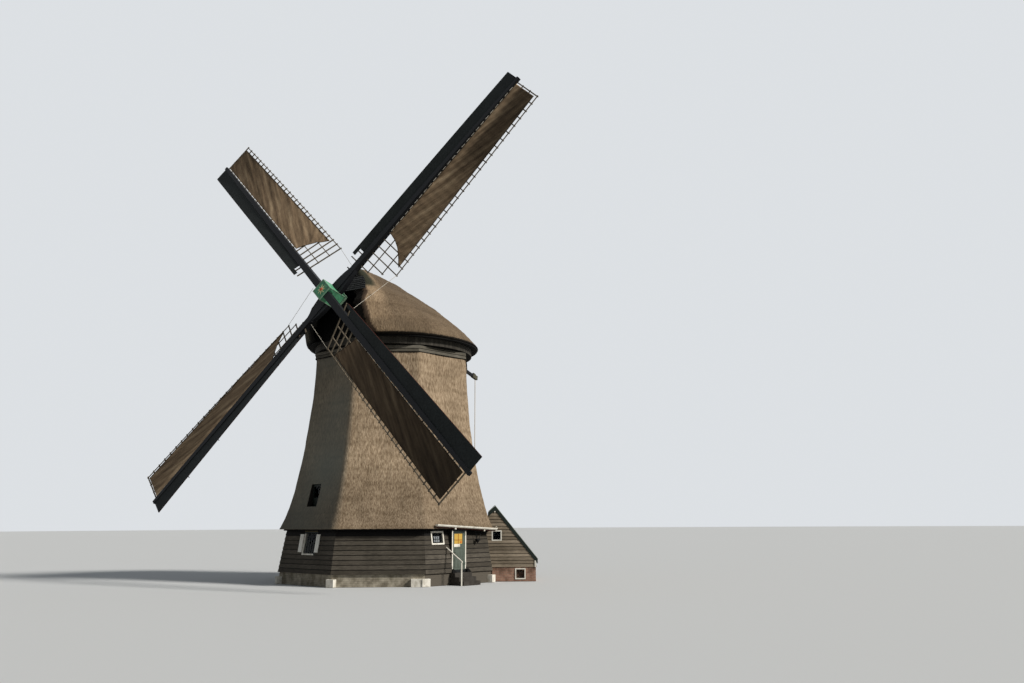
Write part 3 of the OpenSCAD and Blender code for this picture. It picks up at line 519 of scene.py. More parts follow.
def makeBrakeRope():
    route = [capMatrix @ Vector(point) for point in hanging["points"]]
    curve = bpy.data.curves.new("brakeRope", "CURVE")
    curve.dimensions = "3D"
    curve.bevel_depth = hanging["radius"]
    curve.bevel_resolution = 2
    curve.use_fill_caps = True
    line = curve.splines.new("POLY")
    line.points.add(len(route) - 1)
    for point, place in zip(line.points, route):
        point.co = (*place, 1)
    rope = linkObject("brakeRope", curve)
    curve.materials.append(materials["rope"])
    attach(rope, "cap")
    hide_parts("brake_rope")
    bm = bmesh.new()
    place = move(*route[-1]) @ move(0, 0, -hanging["knotDrop"])
    bmesh.ops.create_uvsphere(
        bm, u_segments=12, v_segments=8, radius=hanging["knot"], matrix=place
    )
    knot = makePiece("ropeKnot", bm, "rope", "cap")


makeBrakeRope()

# Thatch of the tower
thatch = {
    "low": 2.33, "high": 10.05, "facetCos": 0.92388, "neck": 3.74, "flare": (1.19, 1.75),
    "edge": (0.2, 12), "rows": 120, "columns": 320, "round": 0.22, "thickness": 0.26, "rim": 2.34,
    "cutEdge": 2.36, "windowFacets": (-45, 135),
    "opening": ((-0.45, 0.25), (-5.5, -3.2), (3.3, 4.27)),
}


def thatchU(z):
    high = thatch["high"]
    share = max(0, (high - z) / (high - thatch["low"]))
    grown = [size * share**power for size, power in (thatch["flare"], thatch["edge"])]
    return thatch["facetCos"] * (thatch["neck"] + sum(grown))


def octagonRadius(u, angle):
    turned = (angle + halfFacet) % (2 * halfFacet) - halfFacet
    radius = thatch["round"]
    limit = atan((u - radius) * facetTan / u)
    if abs(turned) <= limit:
        return u / cos(turned)
    centre = (u - radius) / cos(halfFacet)
    off = halfFacet - abs(turned)
    return centre * cos(off) + sqrt(max(0, radius**2 - (centre * sin(off)) ** 2))


def makeTowerThatch():
    bm = bmesh.new()
    rows = thatch["rows"]
    span = thatch["low"], thatch["high"]
    thickness = thatch["thickness"]
    heights = [mix(*span, (i / rows) ** 1.1) for i in range(rows + 1)]
    outline = [(thatchU(z), z) for z in heights]
    outline += [(thatchU(z) - thickness, z) for z in heights[::-12]]
    verts = [bm.verts.new((0, -u, z)) for u, z in outline]
    edges = [bm.edges.new((a, b)) for a, b in zip(verts, verts[1:] + verts[:1])]
    bmesh.ops.spin(
        bm, geom=verts + edges, cent=(0, 0, 0), axis=(0, 0, 1), angle=2 * pi,
        steps=thatch["columns"], use_merge=True,
    )
    for vert in bm.verts:
        x, y, z = vert.co
        u = hypot(x, y)
        angle = atan2(x, -y)
        radius = octagonRadius(u, angle)
        if u > thatchU(z) - thickness / 2:
            radius += reedNoise(Vector((x, y, z)), 0.9, 2.4)
        if z < thatch["rim"]:
            z += 0.03 * noise.noise(Vector((x * 7, y * 7, 3))) + 0.005
            z = max(z, thatch["low"] + 0.001)
        vert.co = (radius * sin(angle), -radius * cos(angle), z)
    replaced = [n for n in nodes if n.startswith("thatch_")]
    made = makePiece("towerThatch", bm, "towerThatch", "tower", replaced)
    angles = thatch["windowFacets"]
    bm = bmesh.new()
    for angle in angles:
        addSpan(bm, turn(angle), *thatch["opening"])
    cutter = makeObject("thatchOpenings", bm)
    modifier = made.modifiers.new("cut", "BOOLEAN")
    modifier.operation = "DIFFERENCE"
    modifier.solver = "EXACT"
    modifier.object = cutter
    applied(made)
    bpy.data.objects.remove(cutter)
    # The window reveals take a near-black reed as painted shade.
    made.data.materials.append(materials["darkReed"])
    left, right = thatch["opening"][0]
    low, high = thatch["opening"][2]
    for face in made.data.polygons:
        centre = face.center
        along = min(abs((turn(-a) @ centre).x - (left + right) / 2) for a in angles)
        outward = Vector((centre.x, centre.y, 0)).normalized().dot(face.normal)
        across = along < (right - left) / 2 + 0.002
        reveal = across and low - 0.01 < centre.z < high + 0.01 and abs(outward) < 0.5
        face.material_index = 1 if reveal else 0
        face.use_smooth = not reveal

    def looksOf(point):
        angle = degrees(atan2(point.x, -point.y))
        # Moss on the left and back facets, which also stands for painted shade on the facets turned away
        # from the light.
        mossAndShade = clamp((-20 - angle) / 5) * clamp((angle + 170) / 30)
        mossAndShade = max(mossAndShade, 0.6 * clamp((abs(angle) - 120) / 20))
        mossAndShade *= 0.7 + 0.3 * noise.noise(point * 0.5)
        cut = 0.35 if point.z < thatch["cutEdge"] else 0
        # Darker towards the bottom; the front facet lightened with painted light; below the rim the skirt's
        # underside is darkened with painted shade.
        shade = mix(1.0, 0.68, clamp((5.4 - point.z) / 2.6))
        shade *= mix(1.0, 1.24, clamp((22.5 - abs(angle)) / 4))
        return mossAndShade, cut, shade if point.z > thatch["rim"] else 0.6

    paintLooks(made, looksOf)
    print("tower thatch", len(made.data.polygons))


makeTowerThatch()

# Thatch of the cap
cap = {
    "voxel": 0.065, "smooth": 6, "drop": 0.2, "reach": 1.6, "top": 12.95, "foot": 10.85,
    "setBack": [(10.0, 0.0), (12.3, 0.0), (12.9, 0.25), (13.5, 0.33), (15.0, 0.33)],
    "slices": [
        (10.75, 4.12, 0, 0), (11.4, 3.585, 0.225, 0.955), (12.1, 2.865, 0.215, 1.69),
        (12.8, 2.03, 0.14, 2.53), (13.4, 1.205, 0.13, 2.94), (13.85, 0.595, 0.13, 3.2),
        (14.2, 0.12, 0.13, 3.4),
    ],
    "verge": [
        (10.6, 3.55), (10.75, 3.65), (11.3, 4.04), (12.1, 4.08), (12.9, 3.97), (13.5, 3.6),
        (14.4, 3.2),
    ],
}


def interpolate(rows, key):
    key = min(max(key, rows[0][0]), rows[-1][0] - 0.001)
    for low, high in zip(rows, rows[1:]):
        if key < high[0]:
            share = (key - low[0]) / (high[0] - low[0])
            return [mix(a, b, share) for a, b in zip(low[1:], high[1:])]


def capAt(name, z):
    return interpolate(cap[name], z)[0]


def capHalf(z, fore, shrink):
    radius, back, front = interpolate(cap["slices"], z + shrink)
    past = max(0, fore - front, back - fore)
    return sqrt(max(0, max(0, radius - shrink) ** 2 - past**2))


def makeCapThatch():
    replaced = ["cap_thatch_left", "cap_thatch_right"]
    bm = bmesh.new()
    for name in replaced:
        bm.from_mesh(nodes[name].data)
    bmesh.ops.remove_doubles(bm, verts=bm.verts, dist=0.0006)
    back = capMatrix.inverted()
    inner = [f for f in bm.faces if all(abs((back @ v.co).x) < 0.001 for v in f.verts)]
    bmesh.ops.delete(bm, geom=inner, context="FACES")
    made = makePiece("capThatch", bm, "capThatch", "cap", replaced)
    modifier = made.modifiers.new("remesh", "REMESH")
    modifier.mode = "VOXEL"
    modifier.voxel_size = cap["voxel"]
    applied(made)
    bm = bmesh.new()
    bm.from_mesh(made.data)
    for i in range(cap["smooth"]):
        bmesh.ops.smooth_vert(
            bm, verts=bm.verts, factor=0.5, use_axis_x=True, use_axis_y=True, use_axis_z=True
        )
    bm.normal_update()
    reach = cap["reach"]
    for vert in bm.verts:
        point = vert.co.copy()
        local = back @ point
        drop = cap["drop"] * clamp((2.7 + local.y) / 2.6) * clamp((point.z - 11.4) / 2.4)
        near = clamp(1 - (capAt("verge", point.z) - reach + local.y) / reach)
        vert.co = point + vert.normal * reedNoise(point, 1.1, 2.6) - Vector((0, 0, drop))
        vert.co += capMatrix @ Vector((0, capAt("setBack", point.z) * near, 0))
    bm.to_mesh(made.data)
    bm.free()
    for face in made.data.polygons:
        face.use_smooth = True

    def looksOf(point):
        point = back @ point
        shift = capAt("setBack", point.z)
        verge = capAt("verge", point.z)
        behind = (verge - shift + point.y) / (1 - shift / reach)
        half = [capHalf(point.z, verge - behind, inset) for inset in (0.06, 0.14)]
        top = clamp((point.z - cap["top"]) / 0.2) * clamp((0.6 - behind) / 0.3)
        # Inside the verge and under the eave the thatch is near black, painted shade.
        inside = half[0] > abs(point.x) and behind < 0.3 or point.z < cap["foot"]
        inside = inside or half[1] > abs(point.x) and behind < reach
        cut = 0.8 if behind < 0.07 and point.z < cap["top"] else 0
        # Lighter near the verge and darker high up on the ridge.
        near = 0.78 + 1.3 * clamp((0.85 - behind) / 0.7)
        near *= 1 - 0.2 * clamp((point.z - 12.2) / 1.2) * clamp(behind - 0.6)
        # The left side is darkened with painted shade, its edge by the verge most of all, and that edge is
        # also tinted grey-green with the moss tone as painted shade.
        left = clamp(-point.x / 1.5)
        edge = left * clamp((1.2 - behind) / 0.8)
        near = 0.7 if cut else near
        shade = near * (1 - 0.66 * top) * (1 - 0.2 * left) * (1 - 0.5 * edge)
        return max(top, 0.8 * edge), cut * (1 - edge), 0.05 if inside else shade

    paintLooks(made, looksOf)
    print("cap thatch", len(made.data.polygons))


makeCapThatch()

# Lapped boards: rows of wedges in a wall's own frame, as along, out and up
lapped = {"low": 0.03, "top": 0.006, "tone": (0.2, 1), "shift": (0, 40)}


def addRow(bm, layers, rowLow, rowHigh, ends, holes, dark=False):
    # A dark row is painted in shadow.
    tone = 0.0 if dark else random.uniform(*lapped["tone"])
    shift = random.uniform(*lapped["shift"])
    pieces = []
    cursor = None
    for left, right, low, high in sorted(holes):
        if high <= rowLow + 0.01 or low >= rowHigh - 0.01:
            continue
        pieces.append((cursor, left, rowLow, rowHigh))
        if low > rowLow + 0.01:
            pieces.append((left, right, rowLow, low))
        if high < rowHigh - 0.01:
            pieces.append((left, right, high, rowHigh))
        cursor = right
    pieces.append((cursor, None, rowLow, rowHigh))
    for left, right, low, high in pieces:
        made = bmesh.ops.create_cube(bm, size=1)["verts"]
        for vert in made:
            up = high if vert.co.z > 0 else low
            share = (up - rowLow) / (rowHigh - rowLow)
            out = mix(lapped["low"], lapped["top"], share) if vert.co.y < 0 else 0
            first, last = ends(up, out)
            x = (last if right is None else right) if vert.co.x > 0 else (first if left is None else left)
            vert.co = (x, -out, up)
        for face in {f for v in made for f in v.link_faces}:
            for loop in face.loops:
                co = loop.vert.co
                loop[layers["wood"]].uv = (co.x + shift, co.z - co.y + shift)
                loop[layers["row"]].uv = (tone, (co.z - rowLow) / (rowHigh - rowLow))


def newBoards():
    bm = bmesh.new()
    return bm, {name: bm.loops.layers.uv.new(name) for name in ("wood", "row")}


def addBoard(bm, layers, place, x, y, z, grain=0):
    verts = addSpan(bm, Matrix.Identity(4), x, y, z)
    tone = random.uniform(*lapped["tone"])
    shift = random.uniform(*lapped["shift"])
    for face in {f for v in verts for f in v.link_faces}:
        for loop in face.loops:
            co = loop.vert.co
            loop[layers["wood"]].uv = (co[grain] + shift, sum(co) - co[grain] + shift)
            loop[layers["row"]].uv = (tone, 0.4)
    for vert in verts:
        vert.co = place @ vert.co


def placeVerts(bm, known, place):
    fresh = [v for v in bm.verts if v not in known]
    for vert in fresh:
        vert.co = place(vert.co)
    known.update(fresh)


# Windows by facet: middle across, height, then the hole in the boards
windows = {
    "bigFacets": (-45, 135), "big": (0.105, 1.74), "bigHole": (0.95, 0.98),
    "small": (-1.11, 1.95), "smallHole": (0.72, 0.56),
}
walls = {
    "row": 0.1994, "rows": 9, "lap": 0.012, "door": (-0.45, 0.38, -0.1, 1.83),
    "annex": (-1.5, 1.5, -0.1, 1.9),
}


def towerBoards():
    row = walls["row"]
    cosBatter = cos(radians(wallBatter))
    sinBatter = sin(radians(wallBatter))

    def ends(up, out):
        reach = (mill["wallOut"] - up * sinBatter + out * cosBatter) * facetTan
        return -reach, reach

    def windowHole(name):
        x, z = windows[name]
        width, height = windows[name + "Hole"]
        middle = (z - mill["wallFoot"]) / cosBatter
        return x - width / 2, x + width / 2, middle - height / 2, middle + height / 2

    holes = {angle: [windowHole("big")] for angle in windows["bigFacets"]}
    holes[45] = [walls["door"], windowHole("small")]
    holes[90] = [walls["annex"]]
    bm, layers = newBoards()
    known = set()
    for angle in facets:
        for i in range(walls["rows"]):
            high = (i + 1) * row + walls["lap"]
            # The top row, under the thatch skirt, is painted in shadow.
            addRow(bm, layers, i * row, high, ends, holes.get(angle, []), i == walls["rows"] - 1)
        place = turn(angle) @ move(0, -mill["wallOut"], mill["wallFoot"]) @ turn(-wallBatter, "X")
        placeVerts(bm, known, lambda co: place @ co)
    makePiece("towerBoards", bm, "tarredBoards")


annex = {
    "row": 0.15, "lap": 0.01, "rows": 17, "endRows": 2, "endSpan": (-1.57, 1.57), "foot": 0.625,
    "top": 3.175, "out": 1.55, "end": 6.65, "ridge": (4.83, 3.18), "slope": 51, "wallHead": 2.27,
    "thatchHead": 2.94, "head": 4.525, "window": (4.68, 5.13, 1.77, 2.23),
}


def annexBoards():
    ridge, top = annex["ridge"]
    thatchHead = annex["thatchHead"]
    steep = tan(radians(annex["slope"]))

    def ends(up, out):
        if up < annex["wallHead"]:
            first = wallU(up) + 0.012
        elif up < thatchHead:
            first = thatchU(max(up, thatch["rim"])) - 0.02
        else:
            first = mix(annex["head"], ridge, (up - thatchHead) / (top - thatchHead))
        last = min(annex["end"], ridge + (top - up) / steep)
        return min(first, ridge - 0.01), max(ridge - 0.005, last)

    bm, layers = newBoards()
    known = set()

    def addRows(count, top, ends, holes):
        for i in range(count):
            low = annex["foot"] + i * annex["row"]
            high = min(low + annex["row"] + annex["lap"], top)
            addRow(bm, layers, low, high, ends, holes)

    for side in (-1, 1):
        addRows(annex["rows"], annex["top"], ends, [annex["window"]][: side < 0])
        placeVerts(bm, known, lambda co: Vector((co.x, side * (annex["out"] - co.y), co.z)))
    top = annex["foot"] + annex["endRows"] * annex["row"]
    addRows(annex["endRows"], top, lambda up, out: annex["endSpan"], [])
    placeVerts(bm, known, lambda co: Vector((annex["end"] - co.y, co.x, co.z)))
    makePiece("annexBoards", bm, "annexBoards")


towerBoards()
annexBoards()
print("boards made")

# Sail cloths, one stretched sheet on each lattice
cloth = {
    "tip": 12.36,
    "heels": [(3.6, 2.7, 0.1), (4.15, 3.0, 0.1), (3.55, 2.65, 0.02), (3.85, 3.0, 0.2)],
    "stockGap": 0.06, "edgeGap": 0.15, "lift": 0.026, "across": 26, "along": 230,
    "thickness": 0.003, "folds": [0.022, 0.012, 0.012, 0.03],
    "ridges": [(6.9, 0.25, 9.2, 1.55), (3.9, 0.25, 7.4, 1.55), (3.9, 0.25, 5.0, 0.9)],
    "ridge": 0.02, "shear": 0.32,
}
sailNames = ["upper_left", "lower_left", "lower_right", "upper_right"]


def clothPlace(number, share, along):
    low, high, sweep = cloth["heels"][number]
    start = mix(low, high, share) + sweep * sin(pi * share)
    r = mix(start, cloth["tip"], along)
    near = taper("stock", r) + cloth["stockGap"]
    far = taper("lattice", r) - cloth["edgeGap"]
    return r, mix(near, far, share), start


def clothLift(number, r, across, share, start):
    bay = (r - sails["heel"]) / sails["bay"]
    sag = -0.007 * sin(pi * bay) ** 2
    skew = across - cloth["shear"] * r
    long = 0.026 * max(0, noise.noise(Vector((skew * 4.4, r * 0.4, number * 9))) + 0.1)
    spread = atan2(across - 0.2, r - cloth["heels"][number][0] + 0.9)
    reach = exp(-max(0, r - start) / 1.5)
    fan = max(0, sin(spread * 17 + number)) ** 1.5
    fold = 0
    if number == 3:
        for r0, across0, r1, across1 in cloth["ridges"]:
            run = Vector((across1 - across0, r1 - r0))
            rel = Vector((across - across0, r - r0))
            off = abs(rel.x * run.y - rel.y * run.x) / run.length
            part = rel.dot(run) / run.length_squared
            fold += exp(-((off / 0.05) ** 2)) * max(0, min(1, part * 6, (1 - part) * 6))
    lift = cloth["folds"][number] * reach * fan + cloth["ridge"] * fold
    return cloth["lift"] + sag + long + lift


# Per sail, a factor on the cloth's colour: pale strips by the stock on the lower left and upper right are
# painted highlights; the lower right is a darker cloth deepened with painted shade; the upper sails darken
# towards the tip.
def clothShadeAndHighlight(number, r, across):
    share = across / taper("lattice", r)
    if number == 3:
        dark = clamp((r - 7.0) / 2.0) * clamp((share - 0.22) / 0.15)
        pale = clamp((0.45 - share) / 0.2) * clamp((r - 4.5) / 1.5)
        return mix(1.0, 0.36, dark) * mix(1.0, 1.3, pale)
    outer = clamp((r - 6.5) / 5)
    if number == 2:
        return mix(0.55, 0.32, clamp((r - 3.4) / 0.8)) * (1 - 0.5 * outer)
    if number == 1:
        return mix(1.7, 0.9, clamp((share - 0.23) / 0.05))
    return 1 - 0.4 * outer


def makeCloths():
    for number, name in enumerate(sailNames):
        bm = bmesh.new()
        uv = bm.loops.layers.uv.new("wood")
        bmesh.ops.create_grid(
            bm, x_segments=cloth["across"], y_segments=cloth["along"], size=1
        )
        flatArea = 0
        places = {}
        for vert in bm.verts:
            share = (vert.co.x + 1) / 2
            r, across, start = clothPlace(number, share, (vert.co.y + 1) / 2)
            places[vert] = (across, r, start, share)
            vert.co = (across, r, 0)
        for face in bm.faces:
            flatArea += face.calc_area()
            for loop in face.loops:
                across, r = places[loop.vert][:2]
                loop[uv].uv = (across - cloth["shear"] * r, r)
        place = sailMatrix(number)
        for vert in bm.verts:
            across, r, start, share = places[vert]
            vert.co = place @ sailPoint(r, across, clothLift(number, r, across, share, start))
        bmesh.ops.solidify(bm, geom=list(bm.faces), thickness=cloth["thickness"])
        made = makePiece("cloth_" + name, bm, "sailcloth", "rotor", ["sail_cloths"])
        for face in made.data.polygons:
            face.use_smooth = True
        back = place.inverted()
        shades = [clothShadeAndHighlight(number, p.y, p.x) for p in (back @ v.co for v in made.data.vertices)]
        made.data.attributes.new("shade", "FLOAT", "POINT").data.foreach_set("value", shades)


makeCloths()

# Ropes, trims and irons of the sails
rigging = {
    "starts": [(1.9, 1.8), (2.68, 1.8)],
    "ends": [(1.6, -0.15), (0.55, -0.3), (1.5, -0.5), (2.5, -0.66)], "radius": 0.008, "dash": 0.2,
    "step": 0.32, "tip": 12.57, "edgeStart": 2.06, "battenStart": 2.44, "strap": (1.42, 0.34),
    "pegs": [8.2, 10.4],
}


def sailTrims():
    lacing, boltRopes, edges, lines, irons, battens = [bmesh.new() for i in range(6)]
    for number in range(4):
        place = sailMatrix(number)

        def spot(r, across, lift):
            return place @ sailPoint(r, across, lift)

        def clothSpot(share, along):
            r, across, start = clothPlace(number, share, along)
            return spot(r, across, clothLift(number, r, across, share, start) + 0.004)

        def radii(start):
            return [mix(start, rigging["tip"], i / 12) for i in range(13)]

        r = cloth["heels"][number][0] + 0.1
        dash = rigging["dash"]
        while r < cloth["tip"] - dash:
            near = taper("stock", r) + 0.035
            addBar(lacing, spot(r, near, 0.045), spot(r + dash, near, 0.045), 0.013, 6)
            r += rigging["step"]
        rim = [clothSpot(i / 12, 0) for i in range(13)]
        rim += [clothSpot(1, i / 24) for i in range(1, 25)]
        addChain(boltRopes, rim, 0.012)
        line = [spot(r, -taper("boards", r) - 0.006, 0.022) for r in radii(rigging["edgeStart"])]
        addChain(edges, line, 0.012)
        line = [spot(r, -taper("stock", r) - 0.017, 0.03) for r in radii(rigging["battenStart"])]
        addChain(battens, line, 0.024)
        inner = number % 2
        start = spot(*rigging["starts"][inner], 0.02)
        end = sailMatrix((number - 1) % 4) @ sailPoint(*rigging["ends"][number], 0.02)
        addBar(lines, start, end, rigging["radius"], 6)
        if inner:
            r, half = rigging["strap"]
            addBar(irons, spot(r, -half, 0), spot(r, half, 0), 0.028)
        if number == 1:
            for r in rigging["pegs"]:
                out = taper("boards", r)
                addBar(irons, spot(r, -out + 0.03, 0.03), spot(r - 0.04, -out - 0.13, 0.03), 0.018)
    makePiece("clothLacing", lacing, "whiteRope", "rotor")
    makePiece("boltRopes", boltRopes, "boltRope", "rotor")
    makePiece("boardEdges", edges, "redLine", "rotor")
    makePiece("boardBattens", battens, "sailBoardPaint", "rotor")
    makePiece("sailLines", lines, "whiteRope", "rotor")
    makePiece("stockIrons", irons, "blackIron", "rotor")


sailTrims()

# Edges and star of the poll: boxes as middle and size, the star as radii and thickness
poll = {
    "edges": [
        ((0, 0.345, 0.685), (0.72, 0.04, 0.02)), ((0.352, 0.352, 0.13), (0.03, 0.03, 1.1)),
        ((0, 0.385, -0.37), (0.82, 0.05, 0.09)),
    ],
    "starHeight": 0.678, "star": (0.24, 0.085, 0.02), "dotHeight": 0.71,
    "dot": (0.07, 0.06, 0.03),
}


def addStar(bm, place, outer, inner, thickness):
    ring = bmesh.ops.create_circle(bm, cap_ends=True, segments=16, radius=1)["verts"]
    for index, vert in enumerate(ring):
        vert.co *= inner if index % 2 else outer
    face = ring[0].link_faces[0]
    made = bmesh.ops.extrude_face_region(bm, geom=[face])["geom"]
    fresh = [v for v in made if isinstance(v, bmesh.types.BMVert)]
    for vert in fresh:
        vert.co.z += thickness
    for vert in ring + fresh:
        vert.co = place @ vert.co


def pollTrims():
    place = shaftMatrix @ turn(mill["sailTurn"])
    green, star, dot = bmesh.new(), bmesh.new(), bmesh.new()
    for i in range(4):
        for centre, size in poll["edges"]:
            addBox(green, place @ turn(90 * i), size, centre)
    addStar(star, place @ move(0, 0, poll["starHeight"]), *poll["star"])
    addCone(dot, place @ move(0, 0, poll["dotHeight"]), 24, *poll["dot"])
    makePiece("pollEdges", green, "pollEdge", "rotor")
    makePiece("pollStar", star, "creamPaint", "rotor")
    makePiece("starCentre", dot, "orangePaint", "rotor")


pollTrims()

# Boards of the curb, the ring and the gable
neck = {
    "curb": 3.4645, "curbRows": ((10.06, 10.225), (10.215, 10.375)),
    "curbSlot": (-1.05, 0.75, 10.262, 10.29), "foot": ((-3.5, -3.46), (10.05, 10.07)),
    "footReach": 3.49, "ring": 3.7, "planks": 190, "plank": ((-3.72, -3.698), (10.395, 10.698)),
    "leverGap": (0.9, 1.2), "gable": 3.77, "gableLow": 12.86, "gableTilt": 36, "gableRows": 7,
    "gableRow": 0.14,
}


def neckBoards():
    curb = neck["curb"]
    bm, layers = newBoards()
    known = set()

    def curbEnds(up, out):
        return -(curb + out) * facetTan, (curb + out) * facetTan

    for angle in facets:
        for low, high in neck["curbRows"]:
            addRow(bm, layers, low, high, curbEnds, [neck["curbSlot"]][: angle == 45])
        place = turn(angle) @ move(0, -curb, 0)
        placeVerts(bm, known, lambda co: place @ co)
    makePiece("curbRows", bm, "greyBoards")
    bm = bmesh.new()
    reach = neck["footReach"] * facetTan
    for angle in facets:
        addSpan(bm, turn(angle), (-reach, reach), *neck["foot"])
    makePiece("curbFoot", bm, "blackTar")

    bm, layers = newBoards()
    count = neck["planks"]
    half = neck["ring"] * pi / count - 0.002
    first, last = neck["leverGap"]
    for i in range(count):
        spoke = turn(i * 360 / count)
        spot = spoke @ Vector((0, -neck["ring"], 0))
        if spot.y < 0 or not first < spot.x < last:
            addBoard(bm, layers, capMatrix @ spoke, (-half, half), *neck["plank"], 2)
    makePiece("ringPlanks", bm, "darkBoards", "cap")

    plane, foot, tilt = [neck[key] for key in ("gable", "gableLow", "gableTilt")]
    lean = radians(tilt)

    def gableEnds(up, out):
        half = capHalf(foot + up * cos(lean), plane - up * sin(lean), 0.05)
        return -half, half

    bm, layers = newBoards()
    for i in range(neck["gableRows"]):
        low = i * neck["gableRow"]
        addRow(bm, layers, low, low + neck["gableRow"] + 0.006, gableEnds, [])
    place = capMatrix @ move(0, -plane, foot) @ turn(-tilt, "X")
    placeVerts(bm, set(), lambda co: place @ co)
    makePiece("gableRows", bm, "gableBoards", "cap")


neckBoards()

# Door and gutter on their facet: spans as across, out and up
door = {
    "facet": 45,
    "leaf": {
        "paneBars": ("ochre", "green_paint", [
            ((-0.08, -0.055), (-4.65, -4.636), (1.69, 2.12)),
            ((-0.31, 0.17), (-4.65, -4.636), (1.84, 1.866)),
        ]),
        "blankNotice": ("whitePaint", "white_paint", [((-0.33, 0.02), (-4.66, -4.655), (1.565, 1.685))]),
        "doorMouldings": ("doorPaint", "green_paint", []),
        "doorTopRail": ("greenPaint", "green_paint", [((-0.385, 0.315), (-4.66, -4.655), (2.132, 2.236))]),
        "doorHandle": ("blackIron", "black_iron", [
            ((-0.35, -0.335), (-4.7, -4.655), (1.31, 1.325)),
            ((-0.35, -0.26), (-4.705, -4.69), (1.308, 1.327)),
        ]),
        "redPane": ("orangePaint", "green_paint", [((0.04, 0.13), (-4.648, -4.638), (1.735, 1.79))]),
    },
    "panels": ((0.72, 1.08), (1.14, 1.52)), "panel": (-0.29, 0.22), "moulding": 0.022,
    "mouldingOut": (-4.667, -4.655), "postFeet": (-0.425, 0.44), "gutterKnobs": (-0.418, 1.316),
    "gutterBoard": ((-1.48, -4.79, 2.405), (2.04, -4.79, 2.217)),
    "lanternArm": ((0.98, -4.6, 2.21), (1.4, -4.6, 2.21)),
    "lanternStays": ((1.03, 1.0), (1.16, 1.37)),
    "lanternCones": ((1.7, 0.02, 0.1, 0.13), (1.83, 0.12, 0.12, 0.03)),
}


def doorTrims():
    place = turn(door["facet"])
    thick, out = door["moulding"], door["mouldingOut"]
    left, right = door["panel"]
    mouldings = door["leaf"]["doorMouldings"][2]
    for low, high in door["panels"]:
        for z in (low, high - thick):
            mouldings.append(((left, right), out, (z, z + thick)))
        for x in (left, right - thick):
            mouldings.append(((x, x + thick), out, (low + thick, high - thick)))
    for name, (material, slotName, spans) in door["leaf"].items():
        makeSpans(name, material, "front_door", place, spans)

    bm = bmesh.new()
    for x in door["postFeet"]:
        addCone(bm, place @ move(x, -4.7, 0.577) @ turn(45), 4, 0.17, 0.04, 0.15)
    makePiece("postFeet", bm, "blackTar")
    spans = []
    for x in door["gutterKnobs"]:
        z = 2.52 - 0.19 * (x + 1.5) / 3.56 - 0.085
        spans.append(((x - 0.03, x + 0.03), (-4.86, -4.8), (z - 0.08, z)))
    makeSpans("gutterKnobs", "whitePaint", "tower", place, spans)
    bm = bmesh.new()
    addBar(bm, *[place @ Vector(end) for end in door["gutterBoard"]], 0.022)
    makePiece("gutterBoard", bm, "redLine")

    bm = bmesh.new()
    addBar(bm, *[place @ Vector(end) for end in door["lanternArm"]], 0.012)
    for foot, head in door["lanternStays"]:
        addBar(bm, place @ Vector((foot, -4.645, 1.85)), place @ Vector((head, -4.6, 2.21)), 0.011)
    for low, start, end, depth in door["lanternCones"]:
        addCone(bm, place @ move(1.09, -4.645, low + depth / 2) @ turn(45), 4, start, end, depth)
    makePiece("wallLantern", bm, "blackIron", "tower", ["lantern"])


doorTrims()

# Curtains, lintels and shutter boards, in the windows' own frames
curtains = {
    "folds": ((-0.35, -0.3), (-0.19, -0.15), (-0.02, 0.01), (0.14, 0.17)), "fall": (-0.4, 0.14),
    "out": (0.045, 0.055), "lintel": ((-0.46, 0.46), (-0.03, 0.0), (-0.045, 0.045)),
    "lintelPlace": (0.07, 2.27),
    "panes": [(x, z) for x in (-0.16, -0.05, 0.06) for z in (-0.17, -0.035)],
    "pane": (0.085, 0.11), "shutter": 0.475, "shutterBoards": (0.065, 0.175),
    "shutterHalf": (0.047, 0.365), "shutterOut": (-0.083, -0.075),
}


def windowTrims():
    pale, blue, olive = bmesh.new(), bmesh.new(), bmesh.new()
    out = curtains["out"]
    x, z = windows["big"]
    for angle in windows["bigFacets"]:
        for fold in curtains["folds"]:
            addSpan(pale, onWall(angle, x, z), fold, out, curtains["fall"])
        addSpan(olive, onWall(angle, *curtains["lintelPlace"]), *curtains["lintel"])
    width, height = curtains["pane"]
    for left, low in curtains["panes"]:
        span = (left, left + width), out, (low, low + height)
        addSpan(blue, onWall(45, *windows["small"]), *span)
    makePiece("curtains", pale, "curtain")
    makePiece("smallCurtain", blue, "curtainBlue")
    makePiece("lintels", olive, "olive")
    wide, tall = curtains["shutterHalf"]
    for side, body in ((-1, "left_shutter"), (1, "right_shutter")):
        middles = [side * middle for middle in curtains["shutterBoards"]]
        out = curtains["shutterOut"]
        spans = [((middle - wide, middle + wide), out, (-tall, tall)) for middle in middles]
        place = onWall(-45, x + side * curtains["shutter"], z)
        makeSpans("shutterBoards_" + body, "shutterPaint", body, place, spans)


windowTrims()

# Barge lines, corner post, corner stone and roof planks
yard = {
    "barge": ((4.535, 3.06), (4.83, 3.335), (6.745, 0.97)), "bargeOut": 1.588,
    "post": [
        ((6.6, 6.655), (-1.6, -1.552), (0.62, 0.9)), ((4.8, 4.85), (-1.6, -1.57), (3.03, 3.08)),
    ],
    "stone": [((1.35, 1.83), (-4.8, -4.6), (0, 0.32))], "roof": (4.83, 0, 3.3),
    "roofRun": (0.0, 3.03), "planks": 20, "plank": 0.155, "plankRise": (0.014, 0.02),
}


